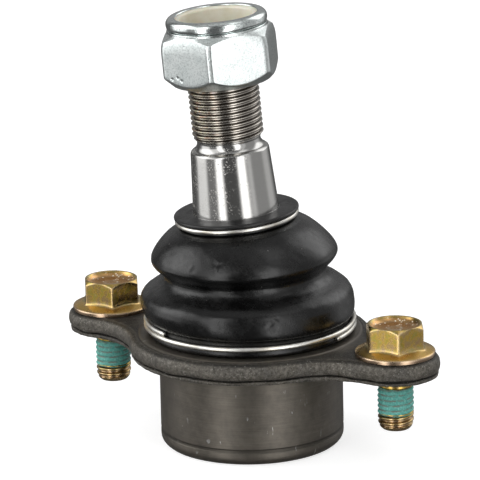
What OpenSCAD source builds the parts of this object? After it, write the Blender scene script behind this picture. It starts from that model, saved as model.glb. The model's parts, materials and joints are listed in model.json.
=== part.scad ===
// Suspension ball joint with a two-eared flange, a bellows boot and a tapered stud.
// The origin is the ball's centre: the middle of the flange's underside, on the housing's axis.
// The ears lie along X, and Z points up, towards the stud.

/* [Housing] */
// Radius of the round spigot below the flange
spigot_r = 26; // [24:0.5:27]
// Length of the spigot below the flange
spigot_length = 26; // [25:0.5:30]
// Thickness of the flange and its ears
flange_t = 6; // [5:0.5:6.5]
// Radius of the round middle of the flange
flange_r = 34.5; // [33.5:0.5:36]
// Radius of an ear round its bolt
ear_r = 12.5; // [12:0.25:13]
// Distance between the two bolts
bolt_spacing = 95; // [92:1:98]
// Radius of the hollow curves between the middle and the ears
neck_curve_r = 22; // [18:1:26]
// Radius of the collar that the boot grips, above the flange
boot_seat_r = 25.5; // [25.2:0.1:25.7]
// Height of that collar above the flange
boot_seat_height = 5; // [4.5:0.5:5.5]

/* [Ball and stud] */
// Radius of the ball
ball_r = 16; // [15.5:0.25:16]
// Lean of the stud away from the housing's axis, in degrees
stud_lean = 4.5; // [0:0.5:8]
// Direction that the stud leans in, seen from above, in degrees
lean_direction = 213; // [0:1:359]
// Radius of the neck above the ball
neck_r = 8.6; // [7.5:0.1:8.8]
// Distance from the ball's centre to the foot of the taper
taper_foot = 41.7; // [41:0.1:43]
// Radius at the foot of the taper
taper_foot_r = 12.15; // [11.8:0.05:12.4]
// Length of the taper
taper_length = 17.7; // [16:0.1:19]
// Radius of the stud's thread, at its crests
thread_r = 10; // [9:0.5:10]
// Distance from the ball's centre to the stud's tip
stud_tip = 92; // [90:0.1:94]

/* [Lock nut] */
// Distance from the ball's centre to the nut's lower face
nut_foot = 79.1; // [78:0.1:80]
// Height of the nut
nut_height = 19.2; // [18.5:0.1:20]
// Width of the nut across its flats
nut_flats = 30; // [29:0.1:32]
// Turn of the nut's corners about the stud, in degrees
nut_turn = -6; // [-30:1:30]

/* [Flange bolts] */
// Radius of a bolt's thread, at its crests
bolt_r = 5; // [4:0.5:5]
// Length of a bolt below its washer face
bolt_length = 21.4; // [20:0.1:25]
// Width of a bolt's head across its flats
bolt_flats = 15; // [14:0.5:16]
// Radius of the washer face that is part of the head
washer_r = 11.2; // [10.5:0.1:11.5]
// Height of a head above the ear
head_height = 9; // [8.5:0.1:10]
// Turn of the left bolt's corners, in degrees
bolt_turn_left = 6.2; // [-30:0.1:30]
// Turn of the right bolt's corners, in degrees
bolt_turn_right = 6.9; // [-30:0.1:30]

/* [Boot] */
// Radius of the lower fold
lower_fold_r = 30.1; // [29.6:0.1:31]
// Radius of the upper fold
upper_fold_r = 26; // [25:0.1:27]
// Radius of the waist between the two folds
waist_r = 22.5; // [21.5:0.1:24]
// Radius of the clamp wires' round section
wire_r = 0.7; // [0.6:0.05:0.75]
// Radius of the lower clamp, at the middle of its wire
lower_clamp_r = 29.4; // [29.3:0.05:29.6]
// Radius of the upper clamp, at the middle of its wire
upper_clamp_r = 16.8; // [16.7:0.05:17]

/* [Hidden] */
$fn = 96;

// Radial clearance of pieces that turn in each other, and of pieces fitted together
running_gap = 0.05;
fitting_gap = 0.03;

// The flange's edge: the height of its parting line, and the round above it
parting_z = 1.4;
edge_round = 1.6;
ear_x = bolt_spacing / 2;
bolt_hole_r = bolt_r + 0.5;

// The stud above its neck: the taper narrows by 1 in 8, then come a relief groove and the thread
taper_head = taper_foot + taper_length;
taper_head_r = taper_foot_r - taper_length / 16;
relief_r = 8.9;
thread_foot = taper_head + 4.1;
hub_r = 12.7;

// The nut's crimped collar, which holds the nylon ring
nut_top = nut_foot + nut_height;
crimp_foot = nut_top - 3.4;
nylon_r = 12.55;
nylon_foot = crimp_foot - 2.8;

// The bolts' shanks: a plain grip down to the coat, then the coat, then bare thread
grip_r = bolt_r - 0.5;
coat_top = -1.5;
coat_foot = -10.35;

// The socket, from the top down: each z is measured from the ball's centre
seat_top = flange_t + boot_seat_height;
throat_z = 9.3;
throat_r = 14.2;
socket_r = 20;
socket_shoulder_z = 3.2;
bearing_r = socket_r - fitting_gap;
preload_gap = 0.4;
cup_floor = -17.2;
spring_floor = -20.2;
plate_t = 2.6;
plate_floor = spring_floor - plate_t;
plate_r = 21.6;
rolled_lip_r = 18;

// The ring that seals the boot's top against the stud: a disc with a sleeve below it
ring_top = taper_foot - 0.05;
ring_t = 1.05;
ring_r = 17.65;
sleeve_r = 13.9;
sleeve_foot = 36.2;

// The wires: where each begins, in degrees, and how far it winds from one cut end to the other
lower_clamp_z = 9.2;
lower_clamp_start = -2;
lower_clamp_sweep = 610;
lower_clamp_pitch = 1.5;
upper_clamp_h = 39.75;
upper_clamp_start = 60;
upper_clamp_sweep = 350;

function unit_turn(a) = [cos(a), sin(a)];
function arc_points(c, r, a0, a1, n) = [for (i = [0:n]) c + r * unit_turn(a0 + (a1 - a0) * i / n)];

// Turns a point about the ball's centre, towards the lean, by a share of the stud's lean
function leaned(p, share) =
    let (a = stud_lean * share,
         u = p[0] * cos(lean_direction) + p[1] * sin(lean_direction),
         v = p[1] * cos(lean_direction) - p[0] * sin(lean_direction),
         w = u * cos(a) + p[2] * sin(a),
         z = p[2] * cos(a) - u * sin(a))
    [w * cos(lean_direction) - v * sin(lean_direction),
     w * sin(lean_direction) + v * cos(lean_direction), z];

// Places its children on the stud's own axis
module on_stud() {
    rotate([0, 0, lean_direction]) rotate([0, stud_lean, 0]) rotate([0, 0, -lean_direction]) children();
}

// Inset of the forging's edge at each height: a step at the parting line, a round edge above it
function edge_profile() = concat(
    [[0.9, 0], [0.5, 0.4], [0.45, parting_z - 0.15], [0.75, parting_z], [0.1, parting_z + 0.25], [0, 2]],
    [for (a = [0:20:80]) [edge_round * (1 - cos(a)), flange_t - edge_round * (1 - sin(a))]]);

// A round boss of the forging: radius r, edged by the profile above
module forged_boss(r) {
    rotate_extrude() polygon(concat([[0, 0]],
        [for (p = edge_profile()) [r - p[0], p[1]]],
        [[r - edge_round + 0.1, flange_t], [0, flange_t]]));
}

// The cutter that leaves a hollow curve with the same edge round its outside
module forged_hollow(r) {
    rotate_extrude() polygon(concat([[0, -1], [r + 0.9, -1]],
        [for (p = edge_profile()) [r + p[0], p[1]]],
        [[r + edge_round, flange_t + 1], [0, flange_t + 1]]));
}

// Centre of the hollow curve that touches both the flange's middle and an ear
function hollow_centre() =
    let (a = flange_r + neck_curve_r - 0.03, b = ear_r + neck_curve_r - 0.03,
         x = (a * a - b * b + ear_x * ear_x) / (2 * ear_x))
    [x, sqrt(a * a - x * x)];

module flange_forging() {
    hollow = hollow_centre();
    difference() {
        union() {
            forged_boss(flange_r);
            for (side = [-1, 1]) translate([side * ear_x, 0, 0]) forged_boss(ear_r);
            for (side = [-1, 1]) linear_extrude(flange_t) polygon([
                [0, 0], [side * hollow[0], -hollow[1]],
                [side * ear_x, 0], [side * hollow[0], hollow[1]]]);
        }
        for (side = [-1, 1], across = [-1, 1])
            translate([side * hollow[0], across * hollow[1], 0]) forged_hollow(neck_curve_r);
    }
}

// The spigot with its rolled lower corner, and the collar for the boot on its raised ring
module spigot_and_collar() {
    corner = 1.4;
    groove_z = 3.3 - spigot_length;
    ring_edge = 31;
    ring_z = flange_t + 0.35;
    rotate_extrude() polygon(concat(
        [[0, -spigot_length]],
        arc_points([spigot_r - corner, corner - spigot_length], corner, -90, 0, 5),
        [[spigot_r, groove_z - 0.2], [spigot_r - 0.12, groove_z], [spigot_r, groove_z + 0.2],
         [spigot_r, 0], [ring_edge + 0.6, 0.5], [ring_edge + 0.6, flange_t],
         [ring_edge, ring_z], [boot_seat_r + 0.6, ring_z], [boot_seat_r, ring_z + 0.25],
         [boot_seat_r, seat_top - 0.6], [boot_seat_r - 0.6, seat_top], [0, seat_top]]));
}

module housing() {
    color([0.25, 0.24, 0.22]) difference() {
        union() {
            flange_forging();
            spigot_and_collar();
        }
        rotate_extrude() polygon([
            [0, -spigot_length - 1], [rolled_lip_r, -spigot_length - 1], [rolled_lip_r, -spigot_length],
            [rolled_lip_r + 1.4, plate_floor], [plate_r + fitting_gap, plate_floor],
            [plate_r + fitting_gap, spring_floor], [socket_r, spring_floor],
            [socket_r, socket_shoulder_z],
            [throat_r + 0.8, throat_z - 0.4], [throat_r, throat_z], [throat_r, throat_z + 0.4],
            [17, seat_top], [17, seat_top + 1], [0, seat_top + 1]]);
        for (side = [-1, 1]) translate([side * ear_x, 0, -1]) cylinder(r = bolt_hole_r, h = flange_t + 2);
    }
}

module closing_plate() {
    color([0.5, 0.5, 0.5]) rotate_extrude() polygon([
        [0, plate_floor + 0.9], [11, plate_floor + 0.9], [13.5, plate_floor], [plate_r, plate_floor],
        [plate_r, spring_floor - fitting_gap], [0, spring_floor - fitting_gap]]);
}

// A coned ring: its rim stands on the closing plate, its inner edge lifts the lower bearing
module preload_spring() {
    rim = 19.4;
    inner = 9;
    spring_t = 1.2;
    spring_top = cup_floor - fitting_gap;
    color([0.4, 0.42, 0.45]) rotate_extrude() polygon([
        [rim, spring_floor], [rim + 0.3, spring_floor + spring_t], [inner + 0.3, spring_top],
        [inner, spring_top - spring_t]]);
}

// The bearing's halves leave a gap for the preload between them, at the ball's middle
module lower_bearing() {
    grease_hole_r = 6;
    color([0.85, 0.84, 0.78]) difference() {
        translate([0, 0, cup_floor]) cylinder(r = bearing_r, h = -cup_floor - preload_gap);
        sphere(r = ball_r + running_gap);
        translate([0, 0, cup_floor - 1]) cylinder(r = grease_hole_r, h = 8);
    }
}

module upper_bearing() {
    bearing_top = throat_z - 0.5;
    color([0.85, 0.84, 0.78]) difference() {
        rotate_extrude() polygon([
            [0, preload_gap], [bearing_r, preload_gap], [bearing_r, socket_shoulder_z - 0.1],
            [throat_r + 0.7, bearing_top], [0, bearing_top]]);
        sphere(r = ball_r + running_gap);
    }
}

module ball_stud() {
    ball_flat = 14.6;
    centre_hole_r = 3;
    shoulder = 0.9;
    tip_bevel = 1.4;
    color([0.75, 0.75, 0.76]) on_stud() union() {
        difference() {
            sphere(r = ball_r);
            translate([0, 0, -ball_r - 1]) cylinder(r = ball_r, h = ball_r + 1 - ball_flat);
            translate([0, 0, -ball_flat - 1]) cylinder(r = centre_hole_r, h = 4);
        }
        rotate_extrude() polygon(concat(
            [[0, 8], [neck_r, 8], [neck_r, 27]],
            [[neck_r + 0.5, 29], [hub_r - 0.7, 34.2], [hub_r, 35.2]],
            [[hub_r, taper_foot - 0.1], [taper_foot_r + 0.1, taper_foot], [taper_foot_r, taper_foot + 0.4]],
            arc_points([taper_head_r - shoulder, taper_head - shoulder], shoulder, 0, 90, 4),
            [[relief_r + 0.5, taper_head + 0.15], [relief_r, taper_head + 0.7],
             [relief_r, thread_foot - 0.8], [thread_r, thread_foot], [thread_r, stud_tip - tip_bevel],
             [thread_r - tip_bevel, stud_tip], [0, stud_tip]]));
    }
}

// A smooth curve through points: n steps between each pair, from the second to the last but one
function curve_point(a, b, c, d, t) =
    0.5 * (2 * b + (c - a) * t + (2 * a - 5 * b + 4 * c - d) * t * t + (3 * b - a - 3 * c + d) * t * t * t);
function smooth_line(p, n) = [for (i = [1:len(p) - 3], k = [0:n - 1])
    curve_point(p[i - 1], p[i], p[i + 1], p[i + 2], k / n)];

// The boot's section is a closed loop of [radius, height above the ball's centre, share of the lean,
// and how far the leaning stud pulls the rubber sideways]
boot_bead_foot = flange_t + 0.65;
boot_grip_r = boot_seat_r + 0.1;
boot_outside = concat(
    [[boot_grip_r, boot_bead_foot, 0, 0], [28.9, boot_bead_foot, 0, 0], [28.6, 7.15, 0, 0],
     [28.6, 11.25, 0, 0]],
    smooth_line([[28, 10.9, 0, 0], [29.3, 11.3, 0, 0], [lower_fold_r - 0.2, 13, 0, 0.3],
                 [lower_fold_r, 15, 0.05, 0.6], [29.3, 18.6, 0.12, 0.65], [26.2, 21.7, 0.25, 0.5],
                 [waist_r, 24.3, 0.42, 0.25], [24.7, 26.2, 0.5, 0.1], [upper_fold_r, 29, 0.56, 0],
                 [24.5, 32.6, 0.72, 0], [20.9, 36, 0.9, 0], [17.5, 37.75, 1, 0], [16.6, 38, 1, 0]], 3),
    [[16.05, 38.3, 1, 0], [16.05, 40.55, 1, 0], [13.95, 40.55, 1, 0]]);
boot_inside = concat(
    [[13.95, 36.4, 1, 0], [14.6, 35.7, 1, 0]],
    smooth_line([[14.4, 36.2, 1, 0], [15.4, 35.3, 1, 0], [20.8, 32.3, 0.78, 0], [23.6, 29, 0.56, 0],
                 [21.9, 26.7, 0.5, 0.1], [20, 24.3, 0.42, 0.25], [23.4, 20.7, 0.25, 0.5],
                 [27.2, 16.4, 0.08, 0.6], [27.5, 13.6, 0, 0.35], [26.1, 11.7, 0, 0.05], [25.4, 11, 0, 0]], 3),
    [[boot_grip_r, 11.3, 0, 0]]);
boot_section = concat(boot_outside, boot_inside);

// Joins rings of equal length into one closed skin, and round to the first ring again if looped
function skin_faces(rings, sides, looped) = concat(
    [for (i = [0:rings - (looped ? 1 : 2)], j = [0:sides - 1])
        let (a = i * sides, b = ((i + 1) % rings) * sides, k = (j + 1) % sides)
        [a + j, a + k, b + k, b + j]],
    looped ? [] : [[for (j = [sides - 1:-1:0]) j], [for (j = [0:sides - 1]) (rings - 1) * sides + j]]);

module boot() {
    round_steps = 48;
    toward = unit_turn(lean_direction);
    points = [for (p = boot_section, j = [0:round_steps - 1])
        let (a = 360 * j / round_steps)
        leaned([p[0] * cos(a), p[0] * sin(a), p[1]], p[2]) + p[3] * [toward[0], toward[1], 0]];
    color([0.08, 0.08, 0.08]) polyhedron(points, skin_faces(len(boot_section), round_steps, true));
}

// A round wire wound about Z: its middle line has radius r, starts at z0 and climbs by pitch each turn
module wound_wire(r, z0, start, sweep, pitch) {
    steps = ceil(sweep / 7.5);
    sides = 8;
    points = [for (i = [0:steps], j = [0:sides - 1])
        let (turn = sweep * i / steps, a = start + turn, b = 360 * j / sides, rr = r + wire_r * cos(b))
        [rr * cos(a), rr * sin(a), z0 + pitch * turn / 360 + wire_r * sin(b)]];
    polyhedron(points, skin_faces(steps + 1, sides, false));
}

module lower_clamp_wire() {
    turns_to_front = 305 / 360;
    start_z = lower_clamp_z - lower_clamp_pitch * turns_to_front;
    color([0.8, 0.8, 0.78])
        wound_wire(lower_clamp_r, start_z, lower_clamp_start, lower_clamp_sweep, lower_clamp_pitch);
}

module upper_clamp_wire() {
    color([0.8, 0.8, 0.78]) on_stud()
        wound_wire(upper_clamp_r, upper_clamp_h, upper_clamp_start, upper_clamp_sweep, 0);
}

module sealing_ring() {
    inner = hub_r + running_gap;
    ring_foot = ring_top - ring_t;
    color([0.12, 0.12, 0.12]) on_stud() rotate_extrude() polygon([
        [inner, sleeve_foot], [sleeve_r, sleeve_foot], [sleeve_r, ring_foot], [ring_r - 0.2, ring_foot],
        [ring_r, ring_foot + 0.2], [ring_r, ring_top - 0.3], [ring_r - 0.3, ring_top], [inner, ring_top]]);
}

// A six-sided bar, its corners turned by an angle, trimmed by a round profile that bevels its ends
module bevelled_hex(flats, turn, z0, z1, profile) {
    intersection() {
        translate([0, 0, z0]) rotate([0, 0, turn]) cylinder(r = flats / sqrt(3), h = z1 - z0, $fn = 6);
        rotate_extrude() polygon(profile);
    }
}

module lock_nut() {
    hex_top = crimp_foot - 0.6;
    corner_r = 16.85;
    bore_r = thread_r + 0.06;
    neck = 13.9;
    mouth_r = 11.4;
    color([0.8, 0.82, 0.83]) on_stud() difference() {
        union() {
            bevelled_hex(nut_flats, nut_turn, nut_foot, hex_top, [
                [0, nut_foot], [13.8, nut_foot], [corner_r, nut_foot + 3.1], [corner_r, hex_top - 1.6],
                [14.1, hex_top], [0, hex_top]]);
            rotate_extrude() polygon(concat(
                [[0, hex_top - 1], [neck, hex_top - 1], [neck, hex_top + 0.2], [neck - 0.6, crimp_foot],
                 [neck, crimp_foot + 0.3]],
                arc_points([12.3, crimp_foot + 1.55], 1.85, -20, 90, 6),
                [[mouth_r, nut_top - 0.25], [mouth_r, nut_top - 0.8], [0, nut_top - 0.8]]));
        }
        translate([0, 0, nut_foot - 1]) cylinder(r = bore_r, h = nut_height + 2);
        rotate_extrude() polygon([
            [0, nut_foot - 1], [bore_r + 1.2, nut_foot - 1], [bore_r + 1.2, nut_foot],
            [bore_r, nut_foot + 1.2], [0, nut_foot + 1.2]]);
        rotate_extrude() polygon([
            [0, nylon_foot], [nylon_r + 0.05, nylon_foot], [nylon_r + 0.05, nut_top - 1.1],
            [mouth_r, nut_top - 0.5], [mouth_r, nut_top + 1], [0, nut_top + 1]]);
    }
}

module nylon_insert() {
    bore_r = thread_r + 0.08;
    foot = nylon_foot + fitting_gap;
    color([0.87, 0.84, 0.74]) on_stud() rotate_extrude() polygon([
        [bore_r, foot], [nylon_r, foot], [nylon_r, nut_top - 1.2], [11.35, nut_top - 0.6],
        [10.7, nut_top - 0.6], [bore_r, nut_top - 1.1]]);
}

module flange_bolt(turn) {
    seat = flange_t;
    head_foot = seat + 1;
    head_top = seat + head_height;
    corner_r = 9;
    head_rim_r = 7.6;
    dish_r = 6.6;
    thread_start = coat_foot - 0.05;
    tip = seat - bolt_length;
    color([0.7, 0.55, 0.25]) difference() {
        union() {
            bevelled_hex(bolt_flats, turn, head_foot, head_top, [
                [0, head_foot], [corner_r, head_foot], [corner_r, head_top - 0.75],
                [head_rim_r, head_top], [0, head_top]]);
            rotate_extrude() polygon([
                [0, tip], [bolt_r - 1, tip], [bolt_r, tip + 1.4], [bolt_r, thread_start],
                [grip_r, thread_start], [grip_r, seat], [washer_r - 0.35, seat], [washer_r, seat + 0.3],
                [washer_r, seat + 0.75], [washer_r - 0.3, seat + 0.95], [8.6, seat + 2], [0, seat + 2]]);
        }
        rotate_extrude() polygon([
            [0, head_top - 0.7], [dish_r - 1, head_top - 0.6], [dish_r, head_top],
            [dish_r, head_top + 1], [0, head_top + 1]]);
    }
}

module flange_bolt_left() translate([-ear_x, 0, 0]) flange_bolt(bolt_turn_left);
module flange_bolt_right() translate([ear_x, 0, 0]) flange_bolt(bolt_turn_right);

// The dry coat is a sleeve on the bolt's shank
module threadlock() {
    coat_length = coat_top - coat_foot;
    color([0.25, 0.6, 0.55]) translate([0, 0, coat_foot]) difference() {
        cylinder(r = bolt_r + 0.05, h = coat_length);
        translate([0, 0, -1]) cylinder(r = grip_r + fitting_gap, h = coat_length + 2);
    }
}

module threadlock_left() translate([-ear_x, 0, 0]) threadlock();
module threadlock_right() translate([ear_x, 0, 0]) threadlock();

housing();
closing_plate();
preload_spring();
lower_bearing();
upper_bearing();
ball_stud();
boot();
lower_clamp_wire();
upper_clamp_wire();
sealing_ring();
lock_nut();
nylon_insert();
flange_bolt_left();
flange_bolt_right();
threadlock_left();
threadlock_right();
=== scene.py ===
# %% [markdown]
# A suspension ball joint, made piece by piece.
# The part is a forged housing with two ears, a rubber bellows, a polished stud that leans a little,
# a lock nut and two bolts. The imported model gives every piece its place, its size and its joints.
# Here each visible surface is made again with the detail that the real one shows: threads, rounded
# forging edges, wound wires and soft rubber. Every new piece is a formula worked out with numpy on
# whole arrays, because almost everything on this part was turned, rolled or swept, and such forms
# are a profile carried along a path.

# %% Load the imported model
import json
import math
import bpy
import numpy as np
from mathutils import Matrix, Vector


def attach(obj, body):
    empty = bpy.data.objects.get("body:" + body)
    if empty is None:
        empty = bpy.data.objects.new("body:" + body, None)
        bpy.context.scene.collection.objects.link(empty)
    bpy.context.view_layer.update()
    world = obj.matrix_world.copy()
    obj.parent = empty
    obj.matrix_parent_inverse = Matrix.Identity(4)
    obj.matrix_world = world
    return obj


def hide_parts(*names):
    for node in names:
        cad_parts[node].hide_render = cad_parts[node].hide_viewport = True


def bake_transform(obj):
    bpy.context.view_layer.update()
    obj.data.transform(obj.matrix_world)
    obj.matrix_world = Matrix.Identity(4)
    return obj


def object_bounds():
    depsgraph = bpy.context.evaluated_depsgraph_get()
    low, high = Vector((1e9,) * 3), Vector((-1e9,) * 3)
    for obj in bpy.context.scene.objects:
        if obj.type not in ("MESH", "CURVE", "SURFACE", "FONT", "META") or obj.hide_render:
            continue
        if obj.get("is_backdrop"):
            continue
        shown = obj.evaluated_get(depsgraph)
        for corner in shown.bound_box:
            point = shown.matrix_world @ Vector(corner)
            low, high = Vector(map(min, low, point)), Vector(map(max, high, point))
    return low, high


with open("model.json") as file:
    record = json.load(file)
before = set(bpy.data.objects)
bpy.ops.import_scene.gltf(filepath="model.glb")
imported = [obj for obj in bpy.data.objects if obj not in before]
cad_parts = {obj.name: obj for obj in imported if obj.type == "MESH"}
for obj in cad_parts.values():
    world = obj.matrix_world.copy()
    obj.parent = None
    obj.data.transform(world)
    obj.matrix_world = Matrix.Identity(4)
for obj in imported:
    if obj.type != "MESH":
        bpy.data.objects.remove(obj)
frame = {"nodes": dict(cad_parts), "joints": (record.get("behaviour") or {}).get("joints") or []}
cad_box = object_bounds()
nodes = frame["nodes"]
joints = {joint["name"]: joint for joint in frame["joints"]}

# %% [markdown]
# The stud leans on its ball. Its axis and the hinge that it leans about are read from the packed
# joints, so every piece that leans with it is made upright first and tipped at the end. All shapes
# are worked out in millimetres, because threads and wires are easier to think about that way, and
# turned into metres when the mesh is made.

# %% Millimetres and the lean of the stud
MM = 0.001
stud_axis = np.array(joints["spin"]["axis"])
lean_hinge = np.array(joints["tilt"]["axis"])
stud_lean = math.acos(stud_axis[2])
print("the stud leans", round(math.degrees(stud_lean), 2), "degrees")


def leaned(points, share=1.0):
    """Turn points about the ball's centre by a share of the stud's lean, as
    p cos a + (k x p) sin a + k (k . p)(1 - cos a), with k the hinge and a = share * lean."""
    angle = np.asarray(share * stud_lean)[..., None]
    along = (points @ lean_hinge)[..., None] * lean_hinge
    across = np.cross(lean_hinge, points)
    return points * np.cos(angle) + across * np.sin(angle) + along * (1 - np.cos(angle))


# %% [markdown]
# Real edges are never sharp. A tool leaves a small radius, plating builds up on it, and that radius
# is what catches the light in a photograph. So every profile is drawn with plain corners first and
# then each corner is swapped for a short curve. A second helper adds rows where a surface needs
# points for its grain or its thread.

# %% Profiles: soft corners, extra rows and smooth lines
def soften(corners, cut, steps=4):
    """Swap each inner corner P for the curve (1-t)^2 A + 2t(1-t) P + t^2 B, where A and B lie `cut` away
    from P towards its neighbours, or less than half way. Corners may hold one profile or one per angle."""
    p = np.asarray(corners, float)
    cut = np.broadcast_to(cut, len(p))[1:-1].reshape(-1, *[1] * (p.ndim - 1))
    ends = []
    for other in (p[:-2], p[2:]):
        reach = np.linalg.norm(other - p[1:-1], axis=-1, keepdims=True)
        ends.append(p[1:-1] + (other - p[1:-1]) * np.minimum(cut / np.maximum(reach, 1e-9), 0.48))
    t = np.linspace(0, 1, steps + 1).reshape(1, -1, *[1] * (p.ndim - 1))
    curve = (1 - t) ** 2 * ends[0][:, None] + 2 * t * (1 - t) * p[1:-1, None] + t ** 2 * ends[1][:, None]
    return np.concatenate([p[:1], curve.reshape(-1, *p.shape[1:]), p[-1:]])


def refine(profile, longest):
    """The same profile with points put in, evenly, so that no step is longer than `longest`."""
    p = np.asarray(profile, float)
    step = np.linalg.norm(np.diff(p, axis=0), axis=-1).reshape(len(p) - 1, -1).max(1)
    counts = np.maximum(1, np.ceil(step / longest)).astype(int)
    first = np.repeat(np.cumsum(counts) - counts, counts)
    share = ((np.arange(counts.sum()) - first) / np.repeat(counts, counts)).reshape(-1, *[1] * (p.ndim - 1))
    start = np.repeat(np.arange(len(counts)), counts)
    return np.concatenate([p[start] * (1 - share) + p[start + 1] * share, p[-1:]])


def smooth_line(points, steps):
    """A smooth curve through all points but the two end ones: between b and c, the cubic whose slopes
    at its ends are (c - a) / 2 and (d - b) / 2."""
    p = np.asarray(points, float)
    a, b, c, d = p[:-3, None], p[1:-2, None], p[2:-1, None], p[3:, None]
    t = (np.arange(steps) / steps)[None, :, None]
    curve = (b + t * (c - a) / 2 + t ** 2 * (2 * a - 5 * b + 4 * c - d) / 2
             + t ** 3 * (3 * b - a - 3 * c + d) / 2)
    return np.concatenate([curve.reshape(-1, p.shape[1]), p[-2:-1]])


print("a softened square corner has", len(soften([[0, 0], [1, 0], [1, 1]], 0.2)), "points")


# %% [markdown]
# A profile becomes a surface when it is carried round an axis. Each point of the profile leaves a
# ring, and neighbouring rings are joined by four-sided faces. Pieces with a hole, such as the nut,
# join the last ring to the first. Pieces without one are closed at each end by a fan of triangles,
# so there is never a hole in the skin.

# %% Surfaces: rings, skins and grain
def turned(profile, angles):
    """Rings that a profile of (radius, height) leaves round Z: (r cos a, r sin a, h)."""
    p = np.asarray(profile, float)
    if p.ndim == 2:
        p = np.repeat(p[:, None], len(angles), axis=1)
    return np.stack([p[..., 0] * np.cos(angles), p[..., 0] * np.sin(angles), p[..., 1]], -1)


def around(count):
    """Equal angles for a full turn."""
    return np.arange(count) * math.tau / count


def skin(rings, looped=False):
    """Points and faces of the closed surface over a stack of rings, anticlockwise, lowest first."""
    rows, cols = rings.shape[:2]
    i, j = np.meshgrid(np.arange(rows if looped else rows - 1), np.arange(cols), indexing="ij")
    right, above = (j + 1) % cols, (i + 1) % rows
    quads = np.stack([i * cols + j, i * cols + right, above * cols + right, above * cols + j], -1)
    points, faces = rings.reshape(-1, 3), quads.reshape(-1, 4).tolist()
    if not looped:
        low, high = np.arange(cols), (rows - 1) * cols + np.arange(cols)
        faces += np.stack([np.full(cols, rows * cols), np.roll(low, -1), low], -1).tolist()
        faces += np.stack([np.full(cols, rows * cols + 1), high, np.roll(high, -1)], -1).tolist()
        points = np.vstack([points, rings[0].mean(0), rings[-1].mean(0)])
    return points, faces


def ring_normals(rings):
    """Outward direction at each point of a looped stack of rings: the cross product of its two steps."""
    round_it = np.roll(rings, -1, axis=1) - np.roll(rings, 1, axis=1)
    along_it = np.roll(rings, -1, axis=0) - np.roll(rings, 1, axis=0)
    across = np.cross(round_it, along_it)
    return across / np.maximum(np.linalg.norm(across, axis=-1, keepdims=True), 1e-9)


def grain(points, size, seed, waves=28):
    """Smooth noise of about -1 to 1: the sum of waves with random directions and lengths near `size` mm."""
    rng = np.random.default_rng(seed)
    way = rng.normal(size=(waves, 3))
    length = size * rng.uniform(0.6, 1.7, (waves, 1))
    way *= math.tau / (length * np.linalg.norm(way, axis=1, keepdims=True))
    phase = rng.uniform(0, math.tau, waves)
    return np.sin(points @ way.T + phase).sum(-1) * math.sqrt(0.5 / waves)


spots = np.random.default_rng(1).uniform(0, 50, (500, 3))
print("grain has a spread of", round(float(grain(spots, 3, 5).std()), 2))


# %% [markdown]
# Each piece keeps the place of its points before the lean and before the rubber bends, as an
# attribute in millimetres. A material that reads it has streaks that run square to the stud's own
# axis and marks that stay on the rubber. The piece then stands for its plain node and rides on
# the body that carries that node.


def in_scene(name, data):
    """A new object for a mesh or a camera, linked to the scene."""
    made = bpy.data.objects.new(name, data)
    bpy.context.scene.collection.objects.link(made)
    return made


def new_mesh(name, points, faces):
    """A mesh from points in mm and the faces between them."""
    mesh = bpy.data.meshes.new(name)
    mesh.from_pydata((points * MM).tolist(), [], faces)
    return mesh


def put_on_points(mesh, key, values, kind="FLOAT", field="value"):
    """Store one value or vector per point under a name that a material can read."""
    own = mesh.attributes.new(key, kind, "POINT")
    own.data.foreach_set(field, np.asarray(values, np.float32).ravel())


def make_piece(name, surface, finish, node, upright=None, marks=None, body=None, sharp=60):
    """Make a mesh piece from points and faces in mm, give it its finish, and let it stand for a node."""
    points, faces = surface
    mesh = new_mesh(name, points, faces)
    mesh.polygons.foreach_set("use_smooth", [True] * len(faces))
    mesh.set_sharp_from_angle(angle=math.radians(sharp))
    put_on_points(mesh, "upright", points if upright is None else upright, "FLOAT_VECTOR", "vector")
    for key, values in (marks or {}).items():
        put_on_points(mesh, key, values)
    mesh.materials.append(finish)
    mesh.update()
    piece = in_scene(name, mesh)
    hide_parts(node)
    if body:
        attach(piece, body)
    print(name, "has", len(points), "points and", len(faces), "faces")
    return piece


def with_ends(values):
    """A value per ring point, and one for each of the two end points that a skin adds."""
    flat = values.reshape(-1, *values.shape[2:])
    return np.concatenate([flat, values[:1].mean(1), values[-1:].mean(1)])


# %% [markdown]
# The photograph was taken from 33 degrees round and 15.6 degrees up, with a long lens that keeps
# the part's edges nearly parallel. The camera stands 1.1 m from a point above the flange and leans
# 1.3 degrees, as the one in the photograph did.

# %% Camera
CAMERA_TURN, CAMERA_RISE, CAMERA_ROLL = math.radians(33), math.radians(15.6), math.radians(-1.3)
CAMERA_DISTANCE, LENS, SENSOR = 1.1, 292.9, 36.0
AIM_HEIGHT, AIM_UP, AIM_RIGHT = 0.026, 0.0062, -0.0025

back = np.array([math.sin(CAMERA_TURN) * math.cos(CAMERA_RISE),
                 -math.cos(CAMERA_TURN) * math.cos(CAMERA_RISE), math.sin(CAMERA_RISE)])
level = np.array([math.cos(CAMERA_TURN), math.sin(CAMERA_TURN), 0])
upward = np.cross(back, level)
right = level * math.cos(CAMERA_ROLL) + upward * math.sin(CAMERA_ROLL)
up = upward * math.cos(CAMERA_ROLL) - level * math.sin(CAMERA_ROLL)
aim = np.array([0, 0, AIM_HEIGHT]) + up * AIM_UP + right * AIM_RIGHT

camera_data = bpy.data.cameras.new("camera")
camera_data.lens, camera_data.sensor_width = LENS, SENSOR
camera = in_scene("camera", camera_data)
stand = aim + back * CAMERA_DISTANCE
camera.matrix_world = Matrix([*np.column_stack([right, up, back, stand]).tolist(), [0, 0, 0, 1]])
bpy.context.scene.camera = camera
print("the camera stands at", np.round(stand, 3))

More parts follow.
